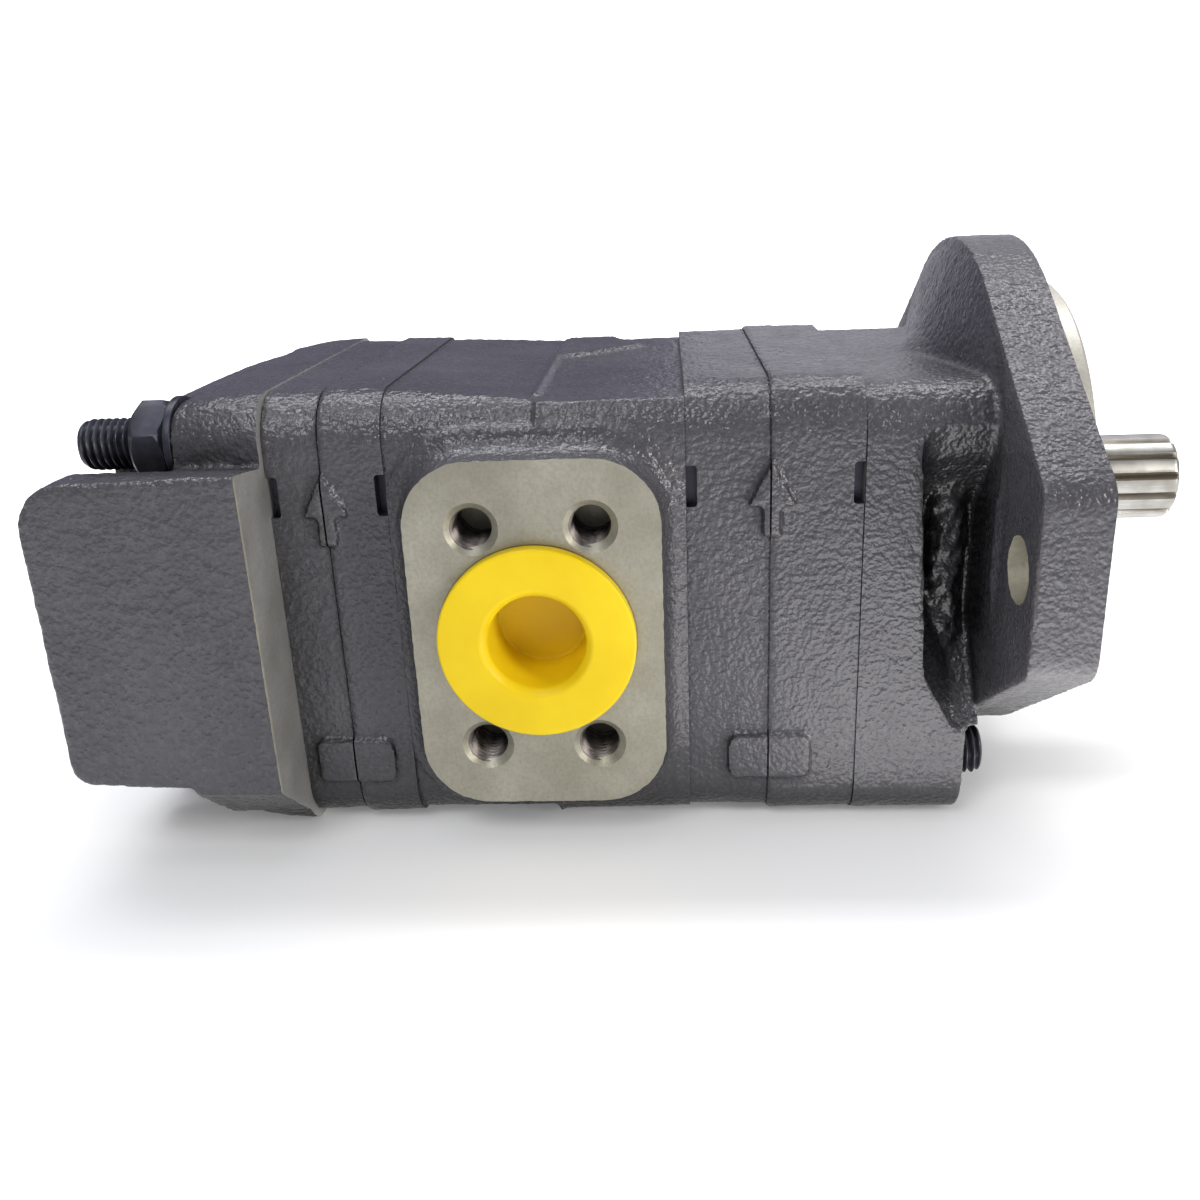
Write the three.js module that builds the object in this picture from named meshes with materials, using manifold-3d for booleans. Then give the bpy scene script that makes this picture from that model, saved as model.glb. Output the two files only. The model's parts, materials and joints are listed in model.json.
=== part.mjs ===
// Two-section hydraulic gear pump, in millimetres, +Z up.
//
// Five iron castings are clamped into a stack by four long studs. Two pairs of gears run inside:
// the splined drive shaft turns the front pair, and a connecting shaft carries the drive through
// the bearing carrier to the rear pair. The stack is built along X with X = 0 at the flange's
// mounting face and the drive shaft's axis on Y = Z = 0. The finished group is then moved back by
// the shaft's reach, so the origin is the centre of the drive shaft's end face.

import * as THREE from 'three';
import { mergeVertices } from 'three/addons/utils/BufferGeometryUtils.js';
import Module from 'manifold-3d';

const wasm = await Module();
wasm.setup();

// ---------------------------------------------------------------- driving dimensions

const SHAFT_REACH = 44.5; // mounting face to the shaft's end
const CENTRE_DISTANCE = 34; // drive axis to driven axis
const TEETH = 12;
const PRESSURE_ANGLE = THREE.MathUtils.degToRad(22.5);
const BACKLASH = 0.24; // thickness taken off each tooth

// Joint faces of the stack, from the front.
const FRONT_JOINT = -42;
const CARRIER_FRONT = -81;
const CARRIER_REAR = -148;
const REAR_JOINT = -175;
const NUT_SEAT = -195.6;
const STUD_FRONT = -10.3;
const STUD_REAR = -220;

// Cross-section shared by the castings.
const BODY_HALF = 54;
const BODY_MID_Z = -CENTRE_DISTANCE / 2;
const BODY_CORNER = 9;
const STUD_HALF_SPACING_Y = 43;
const STUD_HEIGHT = { near: [-39.5, 42.5], far: [-37, 37] }; // lower and upper stud, from the body's middle
const COVER_STEP = 2; // the front cover's top lies this much below the housings'

// Two-bolt mounting flange with its pilot.
const FLANGE_THICKNESS = 13.8;
const FLANGE_RIM_RADIUS = 62;
const FLANGE_EAR_HALF_WIDTH = 85;
const FLANGE_EAR_HALF_HEIGHT = 15.5;
const FLANGE_EAR_CORNER = 7;
const FLANGE_BOLT_RADIUS = 7.15;
const FLANGE_BOLT_Y = 73;
const PILOT_RADIUS = 50.8;
const PILOT_HEIGHT = 9.5;

// Drive spline, shaft seal and the joint inside the carrier.
const SPLINE = { teeth: 13, major: 10.9, minor: 9.3, start: 6, chamfer: 1.4 };
const COUPLING_SPLINE = { teeth: 8, major: 7.4, minor: 6.1, gap: 0.3 };
const SEAL_BORE_RADIUS = 21;
const SEAL_BORE_FLOOR = -4;
const SEAL_GAP = 0.3;

// Gears, journals and their bearings.
const MODULE = CENTRE_DISTANCE / TEETH;
const PITCH_RADIUS = CENTRE_DISTANCE / 2;
const TIP_RADIUS = PITCH_RADIUS + MODULE;
const ROOT_RADIUS = PITCH_RADIUS - 1.25 * MODULE;
const GEAR_BORE_RADIUS = TIP_RADIUS + 0.16;
const JOURNAL_RADIUS = 11;
const BUSH_LENGTH = 22;
const BUSH_INNER_RADIUS = JOURNAL_RADIUS + 0.15;
const BUSH_OUTER_RADIUS = 13.8;
const BUSH_POCKET_RADIUS = 14;
const PLATE_THICKNESS = 4.5;
const SIDE_CLEARANCE = 0.15;
const CARRIER_BORE_RADIUS = 9.5; // lets the connecting shaft through the carrier

// Passages and ports.
const PASSAGE = { inner: 25, outer: 37, halfHeight: 12 };
const PAD_HEIGHT = 8;
const PORT_X = -115;
const PORT_Z = -18;
const PAD_FACE = BODY_HALF + PAD_HEIGHT;
const NEAR_PORT = {
  halfX: 28.3, halfZ: 41.2, corner: 15, // pad
  boltX: 13.1, boltZ: 26.2, boltDepth: 15,
  bore: 12.7, plugFlange: 22.4,
};
const FAR_PORT = {
  halfX: 31, halfZ: 45, corner: 16,
  boltX: 15.1, boltZ: 29.4, boltDepth: 12,
  bore: 16, plugFlange: 26.5,
};
const REAR_PORT = { y: -42, bore: 10.4, plugFlange: 16.4 };
const PORT_BOLT_RADIUS = 4.6;
const PLUG_SEAT_DEPTH = 0.3;

// Valve block cast on the rear cover.
const BLOCK = {
  outerY: -72, innerY: -22, rearX: -224, topZ: 24, bottomZ: -51,
  wallY: -56, shelfZ: 12.5, // behind the outer wall the top steps down to a shelf, clear of the nut
  topSlope: 0.14, topDrop: 1, draftLift: 2.4, topCorner: 11, lowCorner: 5,
  webY: -54, webZ: -66, // under the block a sloping web runs down to the cover's side
};

// Fasteners.
const STUD_RADIUS = 6;
const STUD_HOLE_RADIUS = 6.5;
const NUT = { acrossFlats: 18, height: 9, turn: THREE.MathUtils.degToRad(40) };
const WASHER = { radius: 10.6, height: 1.7 };
const DOWEL = { radius: 2.4, length: 12, y: 26, inset: 6.2, sides: 10 };
const SEAL_GROOVE = { halfY: 41, halfZ: 46, corner: 30, width: 3, depth: 2 };

// Sides of the pieces that run or fit, of the gear bores, of the small holes, and of seals and plugs.
const ROUND = 24;
const BORE_SIDES = 40;
const HOLE_SIDES = 14;
const SEAL_SIDES = 28;

// ---------------------------------------------------------------- materials

const paint = new THREE.MeshStandardMaterial({ color: 0x4a484c, roughness: 0.45, metalness: 0.3 });
const steel = new THREE.MeshStandardMaterial({ color: 0xb4b2ac, roughness: 0.3, metalness: 0.9 });
const blackSteel = new THREE.MeshStandardMaterial({ color: 0x26262c, roughness: 0.55, metalness: 0.7 });
const bronze = new THREE.MeshStandardMaterial({ color: 0xb08a4a, roughness: 0.35, metalness: 0.8 });
const rubber = new THREE.MeshStandardMaterial({ color: 0x151515, roughness: 0.8, metalness: 0 });
const plugPlastic = new THREE.MeshStandardMaterial({ color: 0xf5e012, roughness: 0.4, metalness: 0 });

// ---------------------------------------------------------------- solids and directions

// Bases that lay a shape's own x, y and depth onto the pump's axes.
const AXES = {
  alongX: [new THREE.Vector3(0, 1, 0), new THREE.Vector3(0, 0, 1), new THREE.Vector3(1, 0, 0)],
  towardsNear: [new THREE.Vector3(1, 0, 0), new THREE.Vector3(0, 0, 1), new THREE.Vector3(0, -1, 0)],
  towardsFar: [new THREE.Vector3(-1, 0, 0), new THREE.Vector3(0, 0, 1), new THREE.Vector3(0, 1, 0)],
};

function toSolid(geometry) {
  const bare = geometry.index ? geometry.clone() : geometry;
  bare.deleteAttribute('normal');
  bare.deleteAttribute('uv');
  const merged = mergeVertices(bare, 1e-4);
  return new wasm.Manifold(new wasm.Mesh({
    numProp: 3,
    vertProperties: new Float32Array(merged.attributes.position.array),
    triVerts: new Uint32Array(merged.index.array),
  }));
}

function toGeometry(solid) {
  const mesh = solid.getMesh();
  const geometry = new THREE.BufferGeometry();
  geometry.setAttribute('position', new THREE.BufferAttribute(new Float32Array(mesh.vertProperties), 3));
  geometry.setIndex(new THREE.BufferAttribute(new Uint32Array(mesh.triVerts), 1));
  geometry.computeVertexNormals();
  return geometry;
}

function joined(...solids) {
  return solids.reduce((total, solid) => total.add(solid));
}

function cut(solid, ...tools) {
  return solid.subtract(joined(...tools));
}

function shapeFrom(points) {
  return new THREE.Shape(points.map(([x, y]) => new THREE.Vector2(x, y)));
}

function extrude(points, axes, from, to, bevel = { bevelEnabled: false }) {
  const geometry = new THREE.ExtrudeGeometry(shapeFrom(points), { depth: to - from, ...bevel });
  geometry.translate(0, 0, from);
  geometry.applyMatrix4(new THREE.Matrix4().makeBasis(...axes));
  return toSolid(geometry);
}

function prismX(points, from, to) {
  return extrude(points, AXES.alongX, from, to);
}

function box(x0, x1, y0, y1, z0, z1) {
  const geometry = new THREE.BoxGeometry(x1 - x0, y1 - y0, z1 - z0);
  geometry.translate((x0 + x1) / 2, (y0 + y1) / 2, (z0 + z1) / 2);
  return toSolid(geometry);
}

function cylinderX(radius, from, to, y = 0, z = 0, sides = ROUND, endRadius = radius) {
  const geometry = new THREE.CylinderGeometry(endRadius, radius, to - from, sides);
  geometry.rotateZ(-Math.PI / 2);
  geometry.translate((from + to) / 2, y, z);
  return toSolid(geometry);
}

// A cylinder along Y between two depths on one side of the pump: side is -1 for near, +1 for far.
function cylinderY(radius, side, from, to, x, z, sides = ROUND) {
  const geometry = new THREE.CylinderGeometry(radius, radius, to - from, sides);
  geometry.translate(x, (side * (from + to)) / 2, z);
  return toSolid(geometry);
}

// A profile of [radius, position along X], turned about an axis along X. It closes on itself or
// starts and ends on the axis.
function turnedX(profile, sides, y = 0, z = 0) {
  const geometry = new THREE.LatheGeometry(profile.map(([radius, x]) => new THREE.Vector2(radius, x)), sides);
  geometry.rotateZ(-Math.PI / 2);
  geometry.translate(0, y, z);
  return toSolid(geometry);
}

// A closed solid through convex outlines of equal length, each with its place along X, rear first.
function loftX(sections) {
  const count = sections[0][0].length;
  const places = sections.flatMap(([outline, x]) => outline.flatMap(([y, z]) => [x, y, z]));
  const index = [];
  for (let band = 0; band < sections.length - 1; band += 1) {
    for (let i = 0; i < count; i += 1) {
      const a = band * count + i;
      const b = band * count + ((i + 1) % count);
      index.push(a, b, b + count, a, b + count, a + count);
    }
  }
  const last = (sections.length - 1) * count;
  for (let i = 1; i < count - 1; i += 1) {
    index.push(0, i + 1, i, last, last + i, last + i + 1);
  }
  const geometry = new THREE.BufferGeometry();
  geometry.setAttribute('position', new THREE.Float32BufferAttribute(places, 3));
  geometry.setIndex(index);
  return toSolid(geometry);
}

// ---------------------------------------------------------------- outlines

function arc(cx, cy, radius, from, to, steps) {
  const points = [];
  for (let i = 0; i <= steps; i += 1) {
    const angle = from + ((to - from) * i) / steps;
    points.push([cx + radius * Math.cos(angle), cy + radius * Math.sin(angle)]);
  }
  return points;
}

function roundedRectangle(halfX, halfY, corner, cx = 0, cy = 0, steps = 4) {
  const quarter = Math.PI / 2;
  const signs = [[1, 1], [-1, 1], [-1, -1], [1, -1]];
  return signs.flatMap(([sx, sy], i) => arc(
    cx + sx * (halfX - corner), cy + sy * (halfY - corner), corner, i * quarter, (i + 1) * quarter, steps,
  ));
}

function bodyOutline(extraWidth = 0) {
  return roundedRectangle(BODY_HALF + extraWidth, BODY_HALF, BODY_CORNER, 0, BODY_MID_Z);
}

// A round rim drawn out to two ears by straight tangents.
function flangeOutline() {
  const earY = FLANGE_EAR_HALF_WIDTH - FLANGE_EAR_CORNER;
  const reach = Math.hypot(earY, FLANGE_EAR_HALF_HEIGHT);
  const tangent = Math.atan2(FLANGE_EAR_HALF_HEIGHT, earY)
    + Math.acos((FLANGE_RIM_RADIUS - FLANGE_EAR_CORNER) / reach);
  const upperRight = [
    ...arc(earY, FLANGE_EAR_HALF_HEIGHT, FLANGE_EAR_CORNER, 0, tangent, 3),
    ...arc(0, 0, FLANGE_RIM_RADIUS, tangent, Math.PI / 2, 6),
  ];
  const upperLeft = upperRight.slice(0, -1).reverse().map(([y, z]) => [-y, z]);
  const upper = [...upperRight, ...upperLeft];
  return [...upper, ...upper.slice().reverse().map(([y, z]) => [y, -z])];
}

// Involute gear outline about (0, 0) with a tooth centred on the given angle.
function gearOutline(toothAngle) {
  const baseRadius = PITCH_RADIUS * Math.cos(PRESSURE_ANGLE);
  const involute = (radius) => {
    const pressure = Math.acos(Math.min(1, baseRadius / radius));
    return Math.tan(pressure) - pressure;
  };
  const halfAtPitch = Math.PI / (2 * TEETH) - BACKLASH / (2 * PITCH_RADIUS);
  const halfAngle = (radius) => halfAtPitch + involute(PITCH_RADIUS) - involute(radius);
  const flankRadii = [ROOT_RADIUS, baseRadius, PITCH_RADIUS, (PITCH_RADIUS + TIP_RADIUS) / 2, TIP_RADIUS];
  const rising = flankRadii.map((radius) => [radius, -halfAngle(Math.max(radius, baseRadius))]);
  const falling = rising.slice().reverse().map(([radius, angle]) => [radius, -angle]);
  const points = [];
  for (let tooth = 0; tooth < TEETH; tooth += 1) {
    const centre = toothAngle + (2 * Math.PI * tooth) / TEETH;
    for (const [radius, angle] of [...rising, ...falling]) {
      points.push([radius * Math.cos(centre + angle), radius * Math.sin(centre + angle)]);
    }
  }
  return points;
}

// Straight-sided spline: four corners to a tooth. A gap widens it into the matching hole.
function splineOutline({ teeth, major, minor }, gap = 0) {
  const pitch = (2 * Math.PI) / teeth;
  const halfRoot = pitch * 0.38 + gap / minor;
  const halfTip = pitch * 0.25 + gap / major;
  const low = minor + gap;
  const high = major + gap;
  const corners = [[low, -halfRoot], [high, -halfTip], [high, halfTip], [low, halfRoot]];
  const points = [];
  for (let tooth = 0; tooth < teeth; tooth += 1) {
    for (const [radius, angle] of corners) {
      points.push([radius * Math.cos(tooth * pitch + angle), radius * Math.sin(tooth * pitch + angle)]);
    }
  }
  return points;
}

function hexagon(acrossFlats, turn) {
  const radius = acrossFlats / Math.sqrt(3);
  return arc(0, 0, radius, turn, turn + (Math.PI * 5) / 3, 5);
}

// ---------------------------------------------------------------- features shared by the castings

const GEAR_AXES_Z = [0, -CENTRE_DISTANCE];
const STUD_PLACES = [['near', 1], ['far', 1], ['far', 0], ['near', 0]].map(([side, upper]) => [
  STUD_HALF_SPACING_Y * (side === 'near' ? -1 : 1), BODY_MID_Z + STUD_HEIGHT[side][upper],
]);
const DOWEL_PLACES = [
  [-DOWEL.y, BODY_MID_Z + BODY_HALF - DOWEL.inset],
  [DOWEL.y, BODY_MID_Z - BODY_HALF + DOWEL.inset],
];

function studHoles(from, to) {
  return joined(...STUD_PLACES.map(([y, z]) => cylinderX(STUD_HOLE_RADIUS, from, to, y, z, HOLE_SIDES)));
}

function dowelHoles(jointX) {
  const reach = DOWEL.length / 2 + 0.5;
  const radius = DOWEL.radius + 0.3;
  const holes = DOWEL_PLACES.map(([y, z]) => (
    cylinderX(radius, jointX - reach, jointX + reach, y, z, DOWEL.sides)
  ));
  return joined(...holes);
}

function bushPockets(from, to) {
  return joined(...GEAR_AXES_Z.map((z) => cylinderX(BUSH_POCKET_RADIUS, from, to, 0, z)));
}

function gearChamber(from, to) {
  const bores = GEAR_AXES_Z.map((z) => cylinderX(GEAR_BORE_RADIUS, from, to, 0, z, BORE_SIDES));
  const { outer, halfHeight } = PASSAGE;
  const duct = box(from, to, -outer, outer, BODY_MID_Z - halfHeight, BODY_MID_Z + halfHeight);
  return joined(...bores, duct);
}

function sealRing(offset) {
  const { halfY, halfZ, corner } = SEAL_GROOVE;
  return roundedRectangle(halfY + offset, halfZ + offset, corner + offset, 0, BODY_MID_Z);
}

function sealLoop(width, from, to) {
  return prismX(sealRing(width / 2), from, to).subtract(prismX(sealRing(-width / 2), from - 1, to + 1));
}

// A box on both sides of the stack, between two distances from the middle plane.
function mirroredBox(x0, x1, inner, outer, z0, z1) {
  return joined(box(x0, x1, inner, outer, z0, z1), box(x0, x1, -outer, -inner, z0, z1));
}

// A narrow slot where a lever can part two castings, on both sides of the stack.
function prySlot(from, to) {
  const low = 9.5;
  const high = 19;
  const depth = 4;
  return mirroredBox(from, to, BODY_HALF - depth, BODY_HALF + depth, low, high);
}

// A raised arrow on the near side that shows which way the shaft turns.
function flowArrow(x) {
  const stem = 1.9;
  const wing = 5;
  const foot = 3;
  const shoulder = 10;
  const tip = 19.5;
  const left = [[0, tip], [-wing, shoulder], [-stem, shoulder], [-stem, foot]];
  const right = left.slice(1).reverse().map(([dx, z]) => [-dx, z]);
  const places = [...left, ...right].map(([dx, z]) => [x + dx, z]);
  return extrude(places, AXES.towardsNear, BODY_HALF - 0.5, BODY_HALF + 1.5);
}

// A plain raised plate low on the near side.
function blankPlate(x) {
  const centreZ = -52;
  const outline = roundedRectangle(9.5, 5.5, 2, x, centreZ, 2);
  return extrude(outline, AXES.towardsNear, BODY_HALF - 0.5, BODY_HALF + 1.2);
}

// ---------------------------------------------------------------- castings

// A tall hollow beside the neck, open to the flange's rear face, between the studs of that side.
function neckHollow(side) {
  const rearX = -32.5;
  const frontX = -5;
  const floorY = 42;
  const wall = 1.2;
  const [axes, mirrorX] = side === 'near' ? [AXES.towardsNear, 1] : [AXES.towardsFar, -1];
  const [lowStud, highStud] = STUD_HEIGHT[side].map((height) => BODY_MID_Z + height);
  const low = lowStud + STUD_HOLE_RADIUS + 2 * wall;
  const high = highStud - STUD_HOLE_RADIUS - wall;
  const outline = roundedRectangle(
    (frontX - rearX) / 2, (high - low) / 2, 6, (mirrorX * (frontX + rearX)) / 2, (high + low) / 2,
  );
  return extrude(outline, axes, floorY, BODY_HALF + 2);
}

// The neck behind the flange is hollowed on both sides, and a flared hub runs up to the rim.
function frontCoverOuter() {
  const bodyFront = -FLANGE_THICKNESS;
  const halfHeight = BODY_HALF - COVER_STEP / 2;
  const outline = roundedRectangle(BODY_HALF, halfHeight, BODY_CORNER, 0, BODY_MID_Z - COVER_STEP / 2);
  const block = prismX(outline, FRONT_JOINT, bodyFront);
  const hub = turnedX([
    [0, -26], [34, -26], [37, -22.6], [39.5, -20.4], [43.5, -18.6],
    [53, -16.2], [60.5, bodyFront], [60.5, bodyFront + 1], [0, bodyFront + 1],
  ], ROUND * 2);
  const neck = cut(joined(block, hub), neckHollow('near'), neckHollow('far'));
  const flange = prismX(flangeOutline(), bodyFront, 0);
  const pilot = cylinderX(PILOT_RADIUS, -1, PILOT_HEIGHT, 0, 0, 48);
  return joined(neck, flange, pilot);
}

function frontCover() {
  const bushEnd = FRONT_JOINT + BUSH_LENGTH + 0.3;
  const boltHoles = [-1, 1].map((side) => (
    cylinderX(FLANGE_BOLT_RADIUS, -FLANGE_THICKNESS - 1, 1, side * FLANGE_BOLT_Y)
  ));
  const shaftBore = cylinderX(JOURNAL_RADIUS + 1, FRONT_JOINT - 1, PILOT_HEIGHT + 1);
  const sealBore = cylinderX(SEAL_BORE_RADIUS, SEAL_BORE_FLOOR, PILOT_HEIGHT + 1, 0, 0, BORE_SIDES);
  return cut(
    frontCoverOuter(), ...boltHoles, shaftBore, sealBore,
    bushPockets(FRONT_JOINT - 1, bushEnd),
    studHoles(FRONT_JOINT - 1, STUD_FRONT + 0.5),
    dowelHoles(FRONT_JOINT),
  );
}

function gearHousing(rear, front) {
  const partingX = rear + 0.48 * (front - rear);
  const outer = joined(prismX(bodyOutline(), rear, front), flowArrow(partingX), blankPlate(partingX));
  const { width, depth } = SEAL_GROOVE;
  const slotWidth = 2.4;
  return cut(
    outer, gearChamber(rear - 1, front + 1),
    studHoles(rear - 1, front + 1), dowelHoles(rear), dowelHoles(front),
    prySlot(rear - 1, rear + slotWidth), prySlot(front - slotWidth, front + 1),
    sealLoop(width, front - depth, front + 1), sealLoop(width, rear - 1, rear + depth),
  );
}

function portPad(port, axes, mirrorX) {
  const outline = roundedRectangle(port.halfX, port.halfZ, port.corner, mirrorX * PORT_X, PORT_Z);
  const draft = { bevelThickness: PAD_HEIGHT - 0.8, bevelSize: 1.8, bevelSegments: 1 };
  const root = BODY_HALF - 10;
  return extrude(outline, axes, root, PAD_FACE - draft.bevelThickness, draft);
}

function portCuts(port, side) {
  const seatRadius = port.plugFlange + 0.4;
  const bore = cylinderY(port.bore, side, PASSAGE.inner + 2, PAD_FACE + 1, PORT_X, PORT_Z);
  const seat = cylinderY(seatRadius, side, PAD_FACE - PLUG_SEAT_DEPTH, PAD_FACE + 1, PORT_X, PORT_Z);
  const bolts = [[-1, -1], [-1, 1], [1, -1], [1, 1]].map(([sx, sz]) => cylinderY(
    PORT_BOLT_RADIUS, side, PAD_FACE - port.boltDepth, PAD_FACE + 1,
    PORT_X + sx * port.boltX, PORT_Z + sz * port.boltZ, HOLE_SIDES,
  ));
  return [bore, seat, ...bolts];
}

function bearingCarrier() {
  const outer = joined(
    prismX(bodyOutline(), CARRIER_REAR, CARRIER_FRONT),
    portPad(NEAR_PORT, AXES.towardsNear, 1),
    portPad(FAR_PORT, AXES.towardsFar, -1),
  );
  const passages = mirroredBox(
    CARRIER_REAR - 1, CARRIER_FRONT + 1, PASSAGE.inner, PASSAGE.outer,
    BODY_MID_Z - PASSAGE.halfHeight, BODY_MID_Z + PASSAGE.halfHeight,
  );
  return cut(
    outer, passages, ...portCuts(NEAR_PORT, -1), ...portCuts(FAR_PORT, 1),
    bushPockets(CARRIER_REAR - 1, CARRIER_REAR + BUSH_LENGTH + 0.3),
    bushPockets(CARRIER_FRONT - BUSH_LENGTH - 0.3, CARRIER_FRONT + 1),
    cylinderX(CARRIER_BORE_RADIUS, CARRIER_REAR, CARRIER_FRONT),
    studHoles(CARRIER_REAR - 1, CARRIER_FRONT + 1), dowelHoles(CARRIER_REAR), dowelHoles(CARRIER_FRONT),
  );
}

// The nuts sit in corner pockets behind the cover's dome. On the near side the pockets stop at the
// valve block's outer wall.
function nutPockets() {
  const reach = 12;
  const outside = 80;
  return joined(...STUD_PLACES.map(([y, z]) => {
    const sideY = Math.sign(y);
    const sideZ = Math.sign(z - BODY_MID_Z);
    const outY = sideY < 0 ? BLOCK.wallY : outside;
    const inY = y - sideY * reach;
    const outZ = sideZ * outside;
    const inZ = z - sideZ * (sideZ > 0 ? reach : reach - 1);
    return box(
      BLOCK.rearX - 5, NUT_SEAT,
      Math.min(outY, inY), Math.max(outY, inY), Math.min(inZ, outZ), Math.max(inZ, outZ),
    );
  }));
}

// The block's outline seen from the near side. Towards the rear its top falls a little, and draft
// lifts its underside.
function blockEnvelope() {
  const { rearX, topZ, bottomZ, innerY, topDrop, draftLift, topCorner, lowCorner } = BLOCK;
  const outline = [
    [REAR_JOINT, bottomZ], [REAR_JOINT, topZ],
    ...arc(rearX + topCorner, topZ - topDrop - topCorner, topCorner, Math.PI / 2, Math.PI, 5),
    ...arc(rearX + lowCorner, bottomZ + draftLift + lowCorner, lowCorner, Math.PI, Math.PI * 1.48, 4),
  ];
  const beyond = 100;
  return extrude(outline, AXES.towardsNear, -innerY - 1, beyond);
}

function valveBlock() {
  const { outerY, wallY, innerY, rearX, topZ, bottomZ, shelfZ, topSlope, webY, webZ } = BLOCK;
  const wallTop = topZ - topSlope * (wallY - outerY);
  const foot = [[outerY, topZ], [outerY, bottomZ], [innerY, bottomZ]];
  const stepped = prismX([...foot, [innerY, shelfZ], [wallY, shelfZ], [wallY, wallTop]], rearX, REAR_JOINT);
  const full = prismX([...foot, [innerY, wallTop], [wallY, wallTop]], NUT_SEAT, REAR_JOINT);
  const insideY = webY + 14;
  const web = prismX([
    [outerY, bottomZ + 1], [outerY, bottomZ], [webY, webZ], [insideY, webZ], [insideY, bottomZ + 1],
  ], NUT_SEAT, REAR_JOINT);
  return joined(stepped, full).intersect(blockEnvelope()).add(web);
}

// The cover's body draws in towards the rear, slowly at first.
function coverDome() {
  const dome = { length: 46, inset: 11, power: 2, lip: 1.8, corner: 10, steps: 6 };
  const sections = [];
  for (let i = 0; i <= dome.steps; i += 1) {
    const run = 1 - i / dome.steps;
    const inset = dome.inset * run ** dome.power;
    const halfY = BODY_HALF + dome.lip - inset;
    const outline = roundedRectangle(halfY, BODY_HALF - inset, dome.corner, 0, BODY_MID_Z);
    sections.push([outline, REAR_JOINT - dome.length * run]);
  }
  return loftX(sections);
}

function rearCover() {
  const outer = coverDome().add(valveBlock()).subtract(nutPockets());
  const { y, bore, plugFlange } = REAR_PORT;
  const { rearX } = BLOCK;
  return cut(
    outer, bushPockets(REAR_JOINT - BUSH_LENGTH - 0.3, REAR_JOINT + 1),
    studHoles(NUT_SEAT - 1, REAR_JOINT + 1), dowelHoles(REAR_JOINT),
    cylinderX(bore, rearX - 1, REAR_JOINT + 1, y, BODY_MID_Z),
    cylinderX(plugFlange + 0.4, rearX - 1, rearX + PLUG_SEAT_DEPTH, y, BODY_MID_Z),
  );
}

// ---------------------------------------------------------------- rotating parts

function journal(from, to, z) {
  return cylinderX(JOURNAL_RADIUS, from, to, 0, z);
}

function gearBlank(housingRear, housingFront, z, toothAngle) {
  const shift = PLATE_THICKNESS + SIDE_CLEARANCE;
  const points = gearOutline(toothAngle).map(([y, dz]) => [y, z + dz]);
  return prismX(points, housingRear + shift, housingFront - shift);
}

function couplingHole(from, to) {
  return prismX(splineOutline(COUPLING_SPLINE, COUPLING_SPLINE.gap), from, to);
}

const DRIVE_TOOTH = -Math.PI / 2;
const DRIVEN_TOOTH = Math.PI / 2 + Math.PI / TEETH;
const JOURNAL_REACH = BUSH_LENGTH - 1;
const COUPLING_DEPTH = 18;

function driveShaft() {
  const rearEnd = CARRIER_FRONT - JOURNAL_REACH;
  const { start, major, chamfer } = SPLINE;
  const chamferStart = SHAFT_REACH - chamfer;
  const envelope = joined(
    cylinderX(major + 1, start - 1, chamferStart),
    cylinderX(major + 0.3, chamferStart - 0.1, SHAFT_REACH, 0, 0, ROUND, major - chamfer),
  );
  const splined = prismX(splineOutline(SPLINE), start - 0.5, SHAFT_REACH).intersect(envelope);
  const gear = gearBlank(CARRIER_FRONT, FRONT_JOINT, 0, DRIVE_TOOTH);
  const shaft = joined(journal(rearEnd, start, 0), gear, splined);
  return shaft.subtract(couplingHole(rearEnd - 1, rearEnd + COUPLING_DEPTH));
}

function rearDriveGear() {
  const frontEnd = CARRIER_REAR + JOURNAL_REACH;
  const gear = joined(
    journal(REAR_JOINT - JOURNAL_REACH, frontEnd, 0),
    gearBlank(REAR_JOINT, CARRIER_REAR, 0, DRIVE_TOOTH),
  );
  return gear.subtract(couplingHole(frontEnd - COUPLING_DEPTH, frontEnd + 1));
}

function drivenGear(housingRear, housingFront) {
  const z = -CENTRE_DISTANCE;
  return joined(
    journal(housingRear - JOURNAL_REACH, housingFront + JOURNAL_REACH, z),
    gearBlank(housingRear, housingFront, z, DRIVEN_TOOTH),
  );
}

function connectingShaft() {
  const endGap = 0.5;
  const from = CARRIER_REAR + JOURNAL_REACH - COUPLING_DEPTH + endGap;
  const to = CARRIER_FRONT - JOURNAL_REACH + COUPLING_DEPTH - endGap;
  return prismX(splineOutline(COUPLING_SPLINE), from, to);
}

// ---------------------------------------------------------------- bearings, plates and seals

function bush(from, z) {
  const ring = cylinderX(BUSH_OUTER_RADIUS, from, from + BUSH_LENGTH, 0, z);
  return ring.subtract(cylinderX(BUSH_INNER_RADIUS, from - 1, from + BUSH_LENGTH + 1, 0, z));
}

// Figure-of-eight wear plate that closes one end of a gear chamber. Its notches relieve oil
// trapped between the meshing teeth.
function thrustPlate(from) {
  const to = from + PLATE_THICKNESS - SIDE_CLEARANCE;
  const discs = GEAR_AXES_Z.map((z) => cylinderX(TIP_RADIUS - 0.2, from, to, 0, z));
  const holes = GEAR_AXES_Z.map((z) => cylinderX(JOURNAL_RADIUS + 0.4, from - 1, to + 1, 0, z));
  const relief = { radius: 5, y: 15.5 };
  const notches = [-1, 1].map((side) => (
    cylinderX(relief.radius, from - 1, to + 1, side * relief.y, BODY_MID_Z, 8)
  ));
  return cut(joined(...discs), ...holes, ...notches);
}

// Cord seal in a gear housing's face: side is +1 where the housing lies in front of the joint.
function sectionSeal(jointX, side) {
  const { width, depth } = SEAL_GROOVE;
  const gap = 0.15;
  const near = jointX + side * gap;
  const far = jointX + side * (depth - gap);
  return sealLoop(width - 4 * gap, Math.min(near, far), Math.max(near, far));
}

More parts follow.
